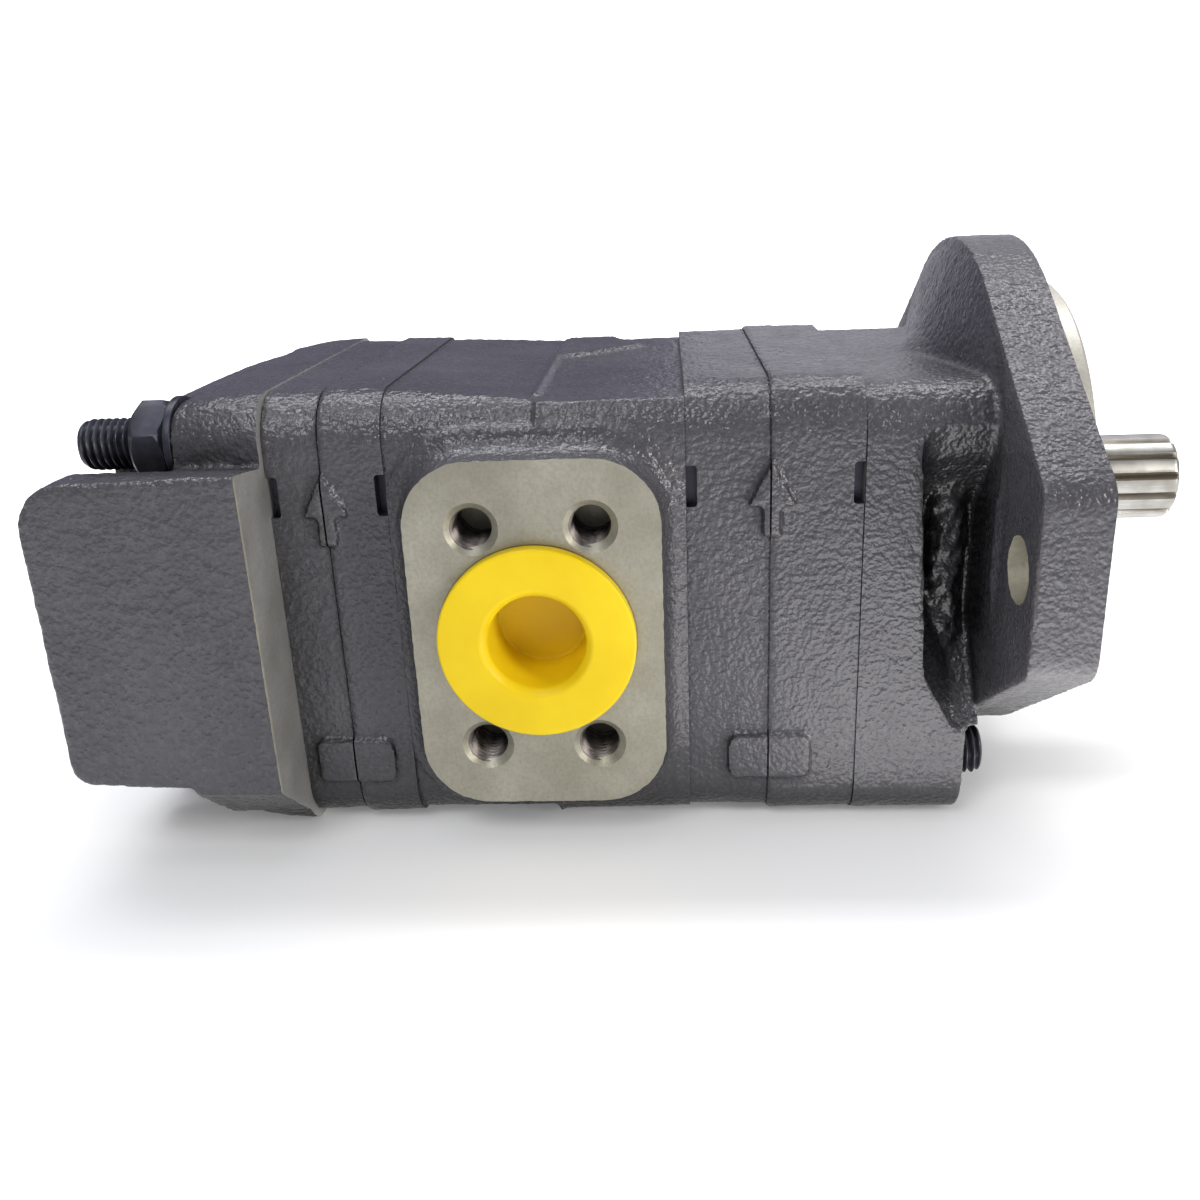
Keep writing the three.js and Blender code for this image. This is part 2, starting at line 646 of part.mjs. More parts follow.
// Lip seal: a ring with a dished front that runs in to the lip on the shaft.
function shaftSeal() {
  const outer = SEAL_BORE_RADIUS - SEAL_GAP;
  const back = SEAL_BORE_FLOOR + SEAL_GAP;
  const front = 3.6;
  const lip = { radius: JOURNAL_RADIUS + 0.25, x: 3 };
  const dish = { outer: 17, inner: 14, x: 1.6 };
  const profile = [
    [lip.radius, back], [outer, back], [outer, front], [dish.outer, front],
    [dish.inner, dish.x], [lip.radius, lip.x], [lip.radius, back],
  ];
  return turnedX(profile, SEAL_SIDES);
}

// An open ring that holds the seal in: its gap is at the top.
function retainingRing() {
  const outer = SEAL_BORE_RADIUS - SEAL_GAP;
  const inner = 17.6;
  const from = 4;
  const to = 5.6;
  const disc = cylinderX(outer, from, to, 0, 0, SEAL_SIDES);
  const hole = cylinderX(inner, from - 1, to + 1, 0, 0, SEAL_SIDES);
  const gap = box(from - 1, to + 1, -4, 4, inner / 2, outer + 1);
  return cut(disc, hole, gap);
}

// ---------------------------------------------------------------- port plugs

// Hollow flanged plug about its own axis: y = 0 under the flange, positive outwards.
function plugGeometry(boreRadius, flangeRadius) {
  const stem = boreRadius - 0.4;
  const wall = 1.3;
  const depth = 16;
  const floor = 2;
  const flange = 3.5;
  const round = 0.9;
  const profile = [
    [0, -depth], [stem - 0.8, -depth], [stem, 2 - depth], [stem, 0], [flangeRadius, 0],
    [flangeRadius, flange - round], [flangeRadius - round, flange],
    [stem - wall + 1.1, flange], [stem - wall, flange - 1.4], [stem - wall - 0.4, floor - depth],
    [0, floor - depth],
  ];
  return new THREE.LatheGeometry(profile.map(([x, y]) => new THREE.Vector2(x, y)), SEAL_SIDES);
}

const PLUG_LIFT = 0.1 - PLUG_SEAT_DEPTH;

function plugMesh(name, port, place, direction) {
  const mesh = new THREE.Mesh(plugGeometry(port.bore, port.plugFlange), plugPlastic);
  mesh.name = name;
  mesh.quaternion.setFromUnitVectors(new THREE.Vector3(0, 1, 0), direction);
  mesh.position.copy(place).addScaledVector(direction, PLUG_LIFT);
  return mesh;
}

// ---------------------------------------------------------------- fasteners

function stud(y, z) {
  const chamfer = 1.2;
  const tip = STUD_RADIUS - chamfer;
  const profile = [
    [0, STUD_REAR], [tip, STUD_REAR], [STUD_RADIUS, STUD_REAR + chamfer],
    [STUD_RADIUS, STUD_FRONT - chamfer], [tip, STUD_FRONT], [0, STUD_FRONT],
  ];
  return turnedX(profile, HOLE_SIDES, y, z);
}

function nut(y, z) {
  const front = NUT_SEAT - WASHER.height;
  const rear = front - NUT.height;
  const body = prismX(hexagon(NUT.acrossFlats, NUT.turn).map(([dy, dz]) => [y + dy, z + dz]), rear, front);
  return body.subtract(cylinderX(STUD_RADIUS + 0.3, rear - 1, front + 1, y, z, HOLE_SIDES));
}

function washer(y, z) {
  const rear = NUT_SEAT - WASHER.height;
  const disc = cylinderX(WASHER.radius, rear, NUT_SEAT, y, z);
  return disc.subtract(cylinderX(STUD_HOLE_RADIUS, rear - 1, NUT_SEAT + 1, y, z, HOLE_SIDES));
}

function dowel(jointX, y, z) {
  const { radius, length, sides } = DOWEL;
  return cylinderX(radius, jointX - length / 2, jointX + length / 2, y, z, sides);
}

// ---------------------------------------------------------------- assembly

const pump = new THREE.Group();

function add(name, solid, material) {
  const mesh = new THREE.Mesh(toGeometry(solid), material);
  mesh.name = name;
  pump.add(mesh);
}

function addCastings() {
  add('front_cover', frontCover(), paint);
  add('front_gear_housing', gearHousing(CARRIER_FRONT, FRONT_JOINT), paint);
  add('bearing_carrier', bearingCarrier(), paint);
  add('rear_gear_housing', gearHousing(REAR_JOINT, CARRIER_REAR), paint);
  add('rear_cover', rearCover(), paint);
}

function addRotatingParts() {
  add('drive_shaft', driveShaft(), steel);
  add('front_driven_gear', drivenGear(CARRIER_FRONT, FRONT_JOINT), steel);
  add('connecting_shaft', connectingShaft(), steel);
  add('rear_drive_gear', rearDriveGear(), steel);
  add('rear_driven_gear', drivenGear(REAR_JOINT, CARRIER_REAR), steel);
}

function addBearings() {
  const rows = {
    front_cover: FRONT_JOINT,
    carrier_front: CARRIER_FRONT - BUSH_LENGTH,
    carrier_rear: CARRIER_REAR,
    rear_cover: REAR_JOINT - BUSH_LENGTH,
  };
  for (const [row, from] of Object.entries(rows)) {
    add(`bush_${row}_drive`, bush(from, 0), bronze);
    add(`bush_${row}_driven`, bush(from, -CENTRE_DISTANCE), bronze);
  }
  const inset = PLATE_THICKNESS - SIDE_CLEARANCE;
  add('thrust_plate_front_1', thrustPlate(FRONT_JOINT - inset), bronze);
  add('thrust_plate_front_2', thrustPlate(CARRIER_FRONT), bronze);
  add('thrust_plate_rear_1', thrustPlate(CARRIER_REAR - inset), bronze);
  add('thrust_plate_rear_2', thrustPlate(REAR_JOINT), bronze);
}

function addSeals() {
  const joints = [[FRONT_JOINT, -1], [CARRIER_FRONT, 1], [CARRIER_REAR, -1], [REAR_JOINT, 1]];
  joints.forEach(([x, side], i) => add(`section_seal_${i + 1}`, sectionSeal(x, side), rubber));
  add('shaft_seal', shaftSeal(), rubber);
  add('seal_retaining_ring', retainingRing(), blackSteel);
}

function addFasteners() {
  STUD_PLACES.forEach(([y, z], i) => {
    add(`stud_${i + 1}`, stud(y, z), blackSteel);
    add(`washer_${i + 1}`, washer(y, z), blackSteel);
    add(`nut_${i + 1}`, nut(y, z), blackSteel);
  });
  [FRONT_JOINT, CARRIER_FRONT, CARRIER_REAR, REAR_JOINT].forEach((x, joint) => {
    DOWEL_PLACES.forEach(([y, z], i) => add(`dowel_${joint + 1}_${i + 1}`, dowel(x, y, z), steel));
  });
}

function addPlugs() {
  const near = new THREE.Vector3(0, -1, 0);
  const far = new THREE.Vector3(0, 1, 0);
  const rear = new THREE.Vector3(-1, 0, 0);
  const nearPlace = new THREE.Vector3(PORT_X, -PAD_FACE, PORT_Z);
  const farPlace = new THREE.Vector3(PORT_X, PAD_FACE, PORT_Z);
  const rearPlace = new THREE.Vector3(BLOCK.rearX, REAR_PORT.y, BODY_MID_Z);
  pump.add(plugMesh('near_port_plug', NEAR_PORT, nearPlace, near));
  pump.add(plugMesh('far_port_plug', FAR_PORT, farPlace, far));
  pump.add(plugMesh('rear_port_plug', REAR_PORT, rearPlace, rear));
}

addCastings();
addRotatingParts();
addBearings();
addSeals();
addFasteners();
addPlugs();
pump.position.x = -SHAFT_REACH;

export default pump;
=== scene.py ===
"""A two-section hydraulic gear pump on a pale studio floor.

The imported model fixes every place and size. The pieces that show are rebuilt here in fine mesh: castings
are lofted, remeshed and pebbled like painted iron, then milled, drilled and tapped by boolean cuts.
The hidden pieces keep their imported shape. Sizes are in metres, written as millimetres times MM.
"""

import json
import math

import bmesh
import bpy
import numpy as np
from mathutils import Matrix, Vector, noise

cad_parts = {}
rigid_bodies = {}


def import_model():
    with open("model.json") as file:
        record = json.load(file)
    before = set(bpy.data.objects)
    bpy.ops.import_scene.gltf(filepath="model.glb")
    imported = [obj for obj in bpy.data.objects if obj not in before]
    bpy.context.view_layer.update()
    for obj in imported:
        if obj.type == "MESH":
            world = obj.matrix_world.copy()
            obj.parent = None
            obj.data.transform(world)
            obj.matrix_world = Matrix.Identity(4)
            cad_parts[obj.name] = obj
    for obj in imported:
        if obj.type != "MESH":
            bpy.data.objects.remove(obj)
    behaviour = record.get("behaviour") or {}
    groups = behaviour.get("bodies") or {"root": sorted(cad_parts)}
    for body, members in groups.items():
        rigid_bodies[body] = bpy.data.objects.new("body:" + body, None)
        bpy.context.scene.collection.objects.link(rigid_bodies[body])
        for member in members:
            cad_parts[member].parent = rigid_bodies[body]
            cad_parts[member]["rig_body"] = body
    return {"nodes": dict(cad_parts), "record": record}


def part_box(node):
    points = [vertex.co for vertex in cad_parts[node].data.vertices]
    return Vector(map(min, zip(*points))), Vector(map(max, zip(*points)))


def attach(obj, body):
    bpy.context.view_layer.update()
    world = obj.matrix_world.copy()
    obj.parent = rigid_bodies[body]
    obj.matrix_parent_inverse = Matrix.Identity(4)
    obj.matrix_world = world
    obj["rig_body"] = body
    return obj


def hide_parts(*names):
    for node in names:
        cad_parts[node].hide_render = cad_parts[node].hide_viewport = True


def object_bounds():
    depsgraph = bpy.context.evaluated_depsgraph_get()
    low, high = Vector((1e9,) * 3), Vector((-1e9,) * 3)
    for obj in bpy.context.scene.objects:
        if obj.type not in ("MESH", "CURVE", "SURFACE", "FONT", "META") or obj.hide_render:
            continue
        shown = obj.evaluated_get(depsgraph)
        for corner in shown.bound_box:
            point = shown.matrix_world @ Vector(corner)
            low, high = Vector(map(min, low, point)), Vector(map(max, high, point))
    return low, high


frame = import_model()
cad_low, cad_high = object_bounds()

MM = 0.001
NODES = frame["nodes"]
MOUNTS = {mount["name"]: Vector(mount["pos_m"]) for mount in frame["record"]["mounts"]}

# ---- sizes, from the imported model

# The stack along X, from the splined end back.
PILOT_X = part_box("front_cover")[1].x
FLANGE_X = MOUNTS["mounting_flange"].x
FRONT_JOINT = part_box("front_gear_housing")[1].x
CARRIER_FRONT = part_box("bearing_carrier")[1].x
CARRIER_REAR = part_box("bearing_carrier")[0].x
REAR_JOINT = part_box("rear_cover")[1].x
NUT_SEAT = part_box("washer_1")[1].x
BLOCK_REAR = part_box("rear_cover")[0].x

# The castings' common cross-section, and its neighbours.
BODY_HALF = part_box("rear_gear_housing")[1].y
BODY_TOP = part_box("rear_gear_housing")[1].z
BODY_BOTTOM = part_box("rear_gear_housing")[0].z
BODY_MID = (BODY_TOP + BODY_BOTTOM) / 2
BODY_HALF_Z = (BODY_TOP - BODY_BOTTOM) / 2
BODY_CORNER = 11.5 * MM
EAR_HALF_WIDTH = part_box("front_cover")[1].y
RIM_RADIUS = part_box("front_cover")[1].z
BLOCK_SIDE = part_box("rear_cover")[0].y

COVER_TOP = BODY_TOP - 2 * MM  # the front cover is this much lower than the housings
FLANGE_REAR = FLANGE_X - 13.8 * MM
EAR_HALF_HEIGHT = 15.5 * MM
EAR_CORNER = 7 * MM
BOLT_HOLE_RADIUS, BOLT_HOLE_Y = 7.15 * MM, 73 * MM
PILOT_RADIUS = 50.8 * MM
SEAL_BORE_RADIUS = 21 * MM
JOURNAL_RADIUS = 11 * MM
SPLINE_TEETH, SPLINE_TIP, SPLINE_ROOT = 13, 10.9 * MM, 9.3 * MM
STEPS_PER_TOOTH = 16
NUT_SEAT_RADIUS = 11.2 * MM
REAR_PORT_RADIUS, REAR_PLUG_RADIUS = 10.4 * MM, 16.4 * MM
PLUG_SEAT, PLUG_GAP = 0.3 * MM, 0.2 * MM  # depth of a plug's spot-face, and the room left round the plug
DOME_LENGTH, DOME_INSET = 46 * MM, 11 * MM
DOME_LIP = 1.8 * MM  # the rear cover stands this much proud of the housings' sides
BLOCK_WALL_Y = -56 * MM  # inside of the valve block's outer wall
NECK_HOLLOW_REAR = FLANGE_X - 28.4 * MM

# Casting and machining.
VOXEL = 0.68 * MM
STOCK = 3 * MM  # cast beyond a face, then milled away
REACH = 0.1  # longer than any cut needs
OVERLAP = 1 * MM  # how far a cutter or a joined piece runs past its face
SPLIT = 0.12 * MM  # half the groove that shows between two castings


def centre_of(node):
    low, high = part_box(node)
    return (low + high) / 2


REAR_PLUG_CENTRE = (centre_of("rear_port_plug").y, centre_of("rear_port_plug").z)
STUDS = [centre_of(f"stud_{i}") for i in (1, 2, 3, 4)]
STUD_RADIUS = (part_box("stud_1")[1].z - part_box("stud_1")[0].z) / 2


class Port:
    """A flanged side port: its pad's outline, bolt pattern and plug. Its sizes are given in millimetres."""

    def __init__(self, side, half_x, half_z, corner, bolt_x, bolt_z, bolt_depth, bore):
        self.name = "near" if side < 0 else "far"
        self.face = abs(MOUNTS[f"{self.name}_port_face"].y)
        plug = f"{self.name}_port_plug"
        self.x, self.z = centre_of(plug).x, centre_of(plug).z
        self.plug_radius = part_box(plug)[1].x - self.x
        self.place = towards_near if side < 0 else towards_far
        self.half_x, self.half_z, self.corner = half_x * MM, half_z * MM, corner * MM
        self.bolt_x, self.bolt_z, self.bolt_depth = bolt_x * MM, bolt_z * MM, bolt_depth * MM
        self.bore = bore * MM


# ---- outlines and directions


def along_x(u, v, depth):
    return (depth, u, v)


def towards_near(u, v, depth):
    return (u, -depth, v)


def towards_far(u, v, depth):
    return (u, depth, v)


def towards_rear(u, v, depth):
    return (-depth, u, v)


def along_z(u, v, depth):
    return (u, v, depth)


PORTS = [
    Port(-1, half_x=28.3, half_z=41.2, corner=15, bolt_x=13.1, bolt_z=26.2, bolt_depth=15, bore=12.7),
    Port(1, half_x=31, half_z=45, corner=16, bolt_x=15.1, bolt_z=29.4, bolt_depth=12, bore=16),
]


def arc(centre_u, centre_v, radius, start, end, steps):
    """Points on an arc, with the angles in degrees."""
    angles = [math.radians(start + (end - start) * i / steps) for i in range(steps + 1)]
    return [(centre_u + radius * math.cos(a), centre_v + radius * math.sin(a)) for a in angles]


def circle(radius, centre=(0, 0), steps=64):
    return arc(*centre, radius, 0, 360, steps)[:-1]


def rounded_rectangle(half_u, half_v, corner, centre=(0, 0), steps=10):
    points = []
    for i, (side_u, side_v) in enumerate([(1, 1), (-1, 1), (-1, -1), (1, -1)]):
        u = centre[0] + side_u * (half_u - corner)
        v = centre[1] + side_v * (half_v - corner)
        points += arc(u, v, corner, 90 * i, 90 * i + 90, steps)
    return points


def body_section(grow=0.0):
    return rounded_rectangle(BODY_HALF + grow, BODY_HALF_Z + grow, BODY_CORNER, (0, BODY_MID))


def flange_outline(grow):
    """A round rim drawn out to two ears by straight tangents."""
    ear_y = EAR_HALF_WIDTH - EAR_CORNER
    rim, corner = RIM_RADIUS + grow, EAR_CORNER + grow
    reach = math.hypot(ear_y, EAR_HALF_HEIGHT)
    turn = math.atan2(EAR_HALF_HEIGHT, ear_y) + math.acos((rim - corner) / reach)
    tangent = math.degrees(turn)
    quarter = arc(ear_y, EAR_HALF_HEIGHT, corner, 0, tangent, 8)
    quarter += arc(0, 0, rim, tangent, 90, 24)
    top = quarter + [(-y, z) for y, z in reversed(quarter[:-1])]
    return top + [(y, -z) for y, z in reversed(top)]


# ---- mesh tools


def add_object(name, data):
    obj = bpy.data.objects.new(name, data)
    bpy.context.scene.collection.objects.link(obj)
    return obj


def new_object(name, vertices, faces, material):
    mesh = bpy.data.meshes.new(name)
    mesh.from_pydata(vertices, [], faces)
    mesh.materials.append(material)
    shape = bmesh.new()
    shape.from_mesh(mesh)
    bmesh.ops.remove_doubles(shape, verts=shape.verts, dist=1e-7)
    bmesh.ops.recalc_face_normals(shape, faces=shape.faces)
    shape.to_mesh(mesh)
    shape.free()
    return add_object(name, mesh)


def loft(name, place, sections, material, ring=False):
    """A closed solid through sections of (outline, depth). A ring joins the last section to the first."""
    count = len(sections[0][0])
    vertices = [place(u, v, depth) for outline, depth in sections for u, v in outline]
    faces = []
    bands = len(sections) if ring else len(sections) - 1
    for band in range(bands):
        a, b = band * count, (band + 1) % len(sections) * count
        faces += [(a + i, a + (i + 1) % count, b + (i + 1) % count, b + i) for i in range(count)]
    if not ring:
        faces.append(tuple(range(count)))
        faces.append(tuple(len(vertices) - count + i for i in range(count)))
    return new_object(name, vertices, faces, material)


def prism(name, place, outline, start, end, material):
    return loft(name, place, [(outline, start), (outline, end)], material)


def turned(name, place, profile, material, centre=(0, 0), steps=64, ring=False):
    """A lathe-turned solid from a profile of (radius, depth)."""
    sections = [(circle(radius, centre, steps), depth) for radius, depth in profile]
    return loft(name, place, sections, material, ring)


def block(name, low, high, material):
    outline = [(low[1], low[2]), (high[1], low[2]), (high[1], high[2]), (low[1], high[2])]
    return prism(name, along_x, outline, low[0], high[0], material)


def thread_sections(centre, start, end, crest, root, pitch, round_start=0.0, round_end=0.0):
    """Sections of a screw thread between two depths. Each end can be rounded over a length."""
    rings = max(2, round((end - start) / pitch * 8))
    tip, steepness, flat = 0.74, 1.35, 0.15  # a rounded tip's share of the crest; the flanks; the root's flat
    sections = []
    for i in range(rings + 1):
        depth = start + (end - start) * i / rings
        limit = crest
        for distance, length in ((depth - start, round_start), (end - depth, round_end)):
            if distance < length:
                limit = crest * (tip + (1 - tip) * math.sqrt(1 - (1 - distance / length) ** 2))
        outline = []
        for u, v in circle(1.0, steps=56):
            phase = depth / pitch - math.atan2(v, u) / (2 * math.pi)
            rise = min(1.0, max(0.0, steepness * abs(2 * (phase % 1.0) - 1) - flat))
            radius = min(limit, root + (crest - root) * rise)
            outline.append((centre[0] + radius * u, centre[1] + radius * v))
        sections.append((outline, depth))
    return sections


def apply_modifiers(obj):
    bpy.context.view_layer.update()
    graph = bpy.context.evaluated_depsgraph_get()
    mesh = bpy.data.meshes.new_from_object(obj.evaluated_get(graph))
    obj.modifiers.clear()
    obj.data = mesh


def combine(obj, operation, tools):
    for tool in tools:
        modifier = obj.modifiers.new("combine", "BOOLEAN")
        modifier.operation = operation
        modifier.solver = "MANIFOLD"
        modifier.material_mode = "TRANSFER"
        modifier.object = tool
    apply_modifiers(obj)
    for tool in tools:
        bpy.data.objects.remove(tool)
    return obj


def join(obj, *tools):
    return combine(obj, "UNION", tools)


def cut(obj, *tools):
    return combine(obj, "DIFFERENCE", tools)


def keep(obj, *tools):
    return combine(obj, "INTERSECT", tools)


def cad_copy(node, material):
    """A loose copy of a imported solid, to cut or join with."""
    mesh = NODES[node].data.copy()
    mesh.materials.clear()
    mesh.materials.append(material)
    shape = bmesh.new()
    shape.from_mesh(mesh)
    bmesh.ops.remove_doubles(shape, verts=shape.verts, dist=1e-7)
    shape.to_mesh(mesh)
    shape.free()
    return add_object(node + "_copy", mesh)


def cast_height(place):
    """Height of the pebbled iron, about -1 to 1, from a place in grains."""
    pebbles = noise.noise(place) + 0.6 * noise.noise(place * 2.1 + Vector((7, 3, 5)))
    return pebbles + 0.5 * noise.noise(place * 0.23)


def cast_surface(obj, seed, grain=1.9 * MM, height=0.15 * MM):
    """Turns a crisp solid into a casting: even mesh, rounded edges and a pebbled surface."""
    remesh = obj.modifiers.new("remesh", "REMESH")
    remesh.mode = "VOXEL"
    remesh.voxel_size = VOXEL
    soften = obj.modifiers.new("soften", "SMOOTH")
    soften.factor = 0.5
    soften.iterations = 3
    apply_modifiers(obj)
    mesh = obj.data
    count = len(mesh.vertices)
    places = np.empty(count * 3, np.float32)
    normals = np.empty(count * 3, np.float32)
    mesh.vertices.foreach_get("co", places)
    mesh.vertex_normals.foreach_get("vector", normals)
    shift = Vector((13.7, 5.1, 9.9)) * seed
    heights = [cast_height(Vector(p) / grain + shift) for p in places.reshape(-1, 3)]
    places += (normals.reshape(-1, 3) * (height * np.array(heights, np.float32))[:, None]).ravel()
    mesh.vertices.foreach_set("co", places)
    mesh.update()
    return obj


def mark_sharp(mesh, angle):
    """Sharp shading at every steep edge and wherever a machined face meets a cast one."""
    shape = bmesh.new()
    shape.from_mesh(mesh)
    for edge in shape.edges:
        kinds = {face.material_index for face in edge.link_faces}
        edge.smooth = len(kinds) == 1 and edge.calc_face_angle(0.0) < angle
    shape.to_mesh(mesh)
    shape.free()


def finish_piece(obj, node, sharp=32):
    """Smooth shading with sharp corners; the piece then stands for its CAD node."""
    obj.name = node + "_skin"
    obj.data.polygons.foreach_set("use_smooth", [True] * len(obj.data.polygons))
    mark_sharp(obj.data, math.radians(sharp))
    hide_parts(node)
    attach(obj, NODES[node]["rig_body"])
    return obj


# ---- materials


def new_material(name):
    """A node material: returns it with its tree and its Principled shader."""
    material = bpy.data.materials.new(name)
    material.use_nodes = True
    tree = material.node_tree
    return material, tree, tree.nodes["Principled BSDF"]


def object_place(tree, scale=(1, 1, 1)):
    """Places in metres times scale, the same in every piece."""
    geometry = tree.nodes.new("ShaderNodeNewGeometry")
    mapping = tree.nodes.new("ShaderNodeMapping")
    mapping.inputs["Scale"].default_value = scale
    tree.links.new(geometry.outputs["Position"], mapping.inputs["Vector"])
    return mapping.outputs["Vector"]


def noise_value(tree, place, size, detail=3.0, roughness=0.5):
    """Noise from 0 to 1 whose features are about size metres across."""
    node = tree.nodes.new("ShaderNodeTexNoise")
    node.inputs["Scale"].default_value = 1 / size
    node.inputs["Detail"].default_value = detail
    node.inputs["Roughness"].default_value = roughness
    tree.links.new(place, node.inputs["Vector"])
    return node.outputs["Fac"]


def ramp(tree, value, *stops):
    """A colour ramp through (position, colour) stops; a plain number stands for a grey."""
    node = tree.nodes.new("ShaderNodeValToRGB")
    elements = node.color_ramp.elements
    while len(elements) < len(stops):
        elements.new(0.5)
    for element, (position, colour) in zip(elements, stops):
        element.position = position
        element.color = (*colour, 1) if isinstance(colour, tuple) else (colour, colour, colour, 1)
    tree.links.new(value, node.inputs["Fac"])
    return node.outputs["Color"]


def mixed(tree, factor, first, second, blend="MIX"):
    node = tree.nodes.new("ShaderNodeMix")
    node.data_type = "RGBA"
    node.blend_type = blend
    for socket, value in ((node.inputs[0], factor), (node.inputs[6], first), (node.inputs[7], second)):
        if isinstance(value, bpy.types.NodeSocket):
            tree.links.new(value, socket)
        elif isinstance(value, tuple):
            socket.default_value = (*value, 1)
        else:
            socket.default_value = value
    return node.outputs[2]


def bump(tree, shader, *layers):
    """Stacks bumps of (height, distance in metres, strength) onto the shader's normal."""
    normal = None
    for height, distance, strength in layers:
        node = tree.nodes.new("ShaderNodeBump")
        node.inputs["Distance"].default_value = distance
        node.inputs["Strength"].default_value = strength
        tree.links.new(height, node.inputs["Height"])
        if normal is not None:
            tree.links.new(normal, node.inputs["Normal"])
        normal = node.outputs["Normal"]
    tree.links.new(normal, shader.inputs["Normal"])


def surface(tree, shader, colour, roughness, metallic=0.0):
    tree.links.new(colour, shader.inputs["Base Color"])
    tree.links.new(roughness, shader.inputs["Roughness"])
    shader.inputs["Metallic"].default_value = metallic


def edge_value(tree):
    """About 0.5 on the flat, higher on raised edges and lower in hollows."""
    geometry = tree.nodes.new("ShaderNodeNewGeometry")
    return geometry.outputs["Pointiness"]


def painted_iron():
    """Semi-gloss dark grey paint over cast iron: pebbled, darkened in hollows by painted shade, thin on
    edges.
    """
    material, tree, shader = new_material("painted_iron")
    place = object_place(tree)
    grain = noise_value(tree, place, 1.1 * MM, 1, 0.4)
    patches = noise_value(tree, place, 34 * MM, 3)
    colour = ramp(tree, patches, (0.3, (0.060, 0.058, 0.066)), (0.7, (0.084, 0.081, 0.090)))
    colour = mixed(tree, ramp(tree, grain, (0.45, 0.0), (0.75, 0.4)), colour, (0.125, 0.12, 0.126))
    edge = ramp(tree, edge_value(tree), (0.52, 0.0), (0.60, 0.55))
    colour = mixed(tree, edge, colour, (0.14, 0.13, 0.125))
    # Painted shade: ambient occlusion darkens the paint's colour in hollows and recesses.
    hollow = tree.nodes.new("ShaderNodeAmbientOcclusion")
    hollow.inputs["Distance"].default_value = 32 * MM
    hollow.samples = 4
    shade = ramp(tree, hollow.outputs["AO"], (0.3, 0.12), (0.8, 1.0))
    colour = mixed(tree, 1.0, colour, shade, "MULTIPLY")
    shine = noise_value(tree, place, 9 * MM, 4)
    surface(tree, shader, colour, ramp(tree, shine, (0.3, 0.22), (0.7, 0.35)), 0.15)
    shader.inputs["Specular IOR Level"].default_value = 0.55
    fine = noise_value(tree, place, 0.5 * MM, 1)
    bump(tree, shader, (grain, 0.42 * MM, 1.0), (fine, 0.09 * MM, 0.8))
    return material


def machined_iron(name, tint):
    """Machined grey iron with fine cutter marks; its warm colours are multiplied by a tint."""
    material, tree, shader = new_material(name)
    place = object_place(tree)
    stretched = object_place(tree, (1, 1, 0.08))
    marks = noise_value(tree, stretched, 0.35 * MM, 2)
    speckle = noise_value(tree, place, 0.7 * MM, 4)
    patches = noise_value(tree, place, 14 * MM, 3)
    dull, bright, grey = (0.205, 0.196, 0.163), (0.280, 0.270, 0.232), (0.13, 0.123, 0.105)
    dull, bright, grey = (tuple(t * part for t, part in zip(tint, tone)) for tone in (dull, bright, grey))
    colour = ramp(tree, patches, (0.3, dull), (0.7, bright))
    colour = mixed(tree, ramp(tree, speckle, (0.4, 0.0), (0.8, 0.4)), colour, grey)
    surface(tree, shader, colour, ramp(tree, marks, (0.3, 0.38), (0.7, 0.55)), 0.7)
    bump(tree, shader, (marks, 0.012 * MM, 0.6), (speckle, 0.02 * MM, 0.35))
    return material


def bare_steel():
    """Bright turned and ground steel with fine rings round X."""
    material, tree, shader = new_material("bare_steel")
    rings = noise_value(tree, object_place(tree, (1, 0.05, 0.05)), 0.25 * MM, 2)
    stain = noise_value(tree, object_place(tree), 6 * MM, 4)
    colour = ramp(tree, stain, (0.35, (0.50, 0.47, 0.42)), (0.6, (0.66, 0.64, 0.60)))
    surface(tree, shader, colour, ramp(tree, rings, (0.3, 0.22), (0.7, 0.36)), 1.0)
    bump(tree, shader, (rings, 0.01 * MM, 0.5))
    return material


def splined_steel():
    """The splined end: light lands streaked along X, with painted shade in dark brown down in the grooves."""
    material, tree, shader = new_material("splined_steel")
    streaks = noise_value(tree, object_place(tree, (0.04, 1, 1)), 0.5 * MM, 3)
    stain = noise_value(tree, object_place(tree), 5 * MM, 4)
    radius = tree.nodes.new("ShaderNodeVectorMath")
    radius.operation = "LENGTH"
    tree.links.new(object_place(tree, (0, 1, 1)), radius.inputs[0])
    height = tree.nodes.new("ShaderNodeMapRange")
    height.inputs["From Min"].default_value = SPLINE_ROOT + 0.3 * MM
    height.inputs["From Max"].default_value = SPLINE_TIP - 0.2 * MM
    tree.links.new(radius.outputs["Value"], height.inputs["Value"])
    colour = ramp(tree, stain, (0.35, (0.40, 0.385, 0.35)), (0.65, (0.56, 0.55, 0.52)))
    colour = mixed(tree, ramp(tree, streaks, (0.4, 0.0), (0.7, 0.5)), colour, (0.32, 0.31, 0.28))
    # Painted shade: the colour turns dark brown towards the bottoms of the grooves.
    colour = mixed(tree, height.outputs["Result"], (0.26, 0.23, 0.19), colour)
    surface(tree, shader, colour, ramp(tree, streaks, (0.3, 0.26), (0.7, 0.44)), 1.0)
    bump(tree, shader, (streaks, 0.015 * MM, 0.5))
    return material


def tapped_steel():
    """Oily cut threads inside a hole, coloured very dark for the oil and as painted shade deep in the hole.
    """
    material, tree, shader = new_material("tapped_steel")
    oil = noise_value(tree, object_place(tree), 2 * MM, 3)
    # Painted shade: these dark colours stand both for oil and for the shade inside the hole.
    colour = ramp(tree, oil, (0.3, (0.10, 0.085, 0.08)), (0.7, (0.24, 0.215, 0.20)))
    surface(tree, shader, colour, ramp(tree, oil, (0.3, 0.35), (0.7, 0.5)), 1.0)
    return material


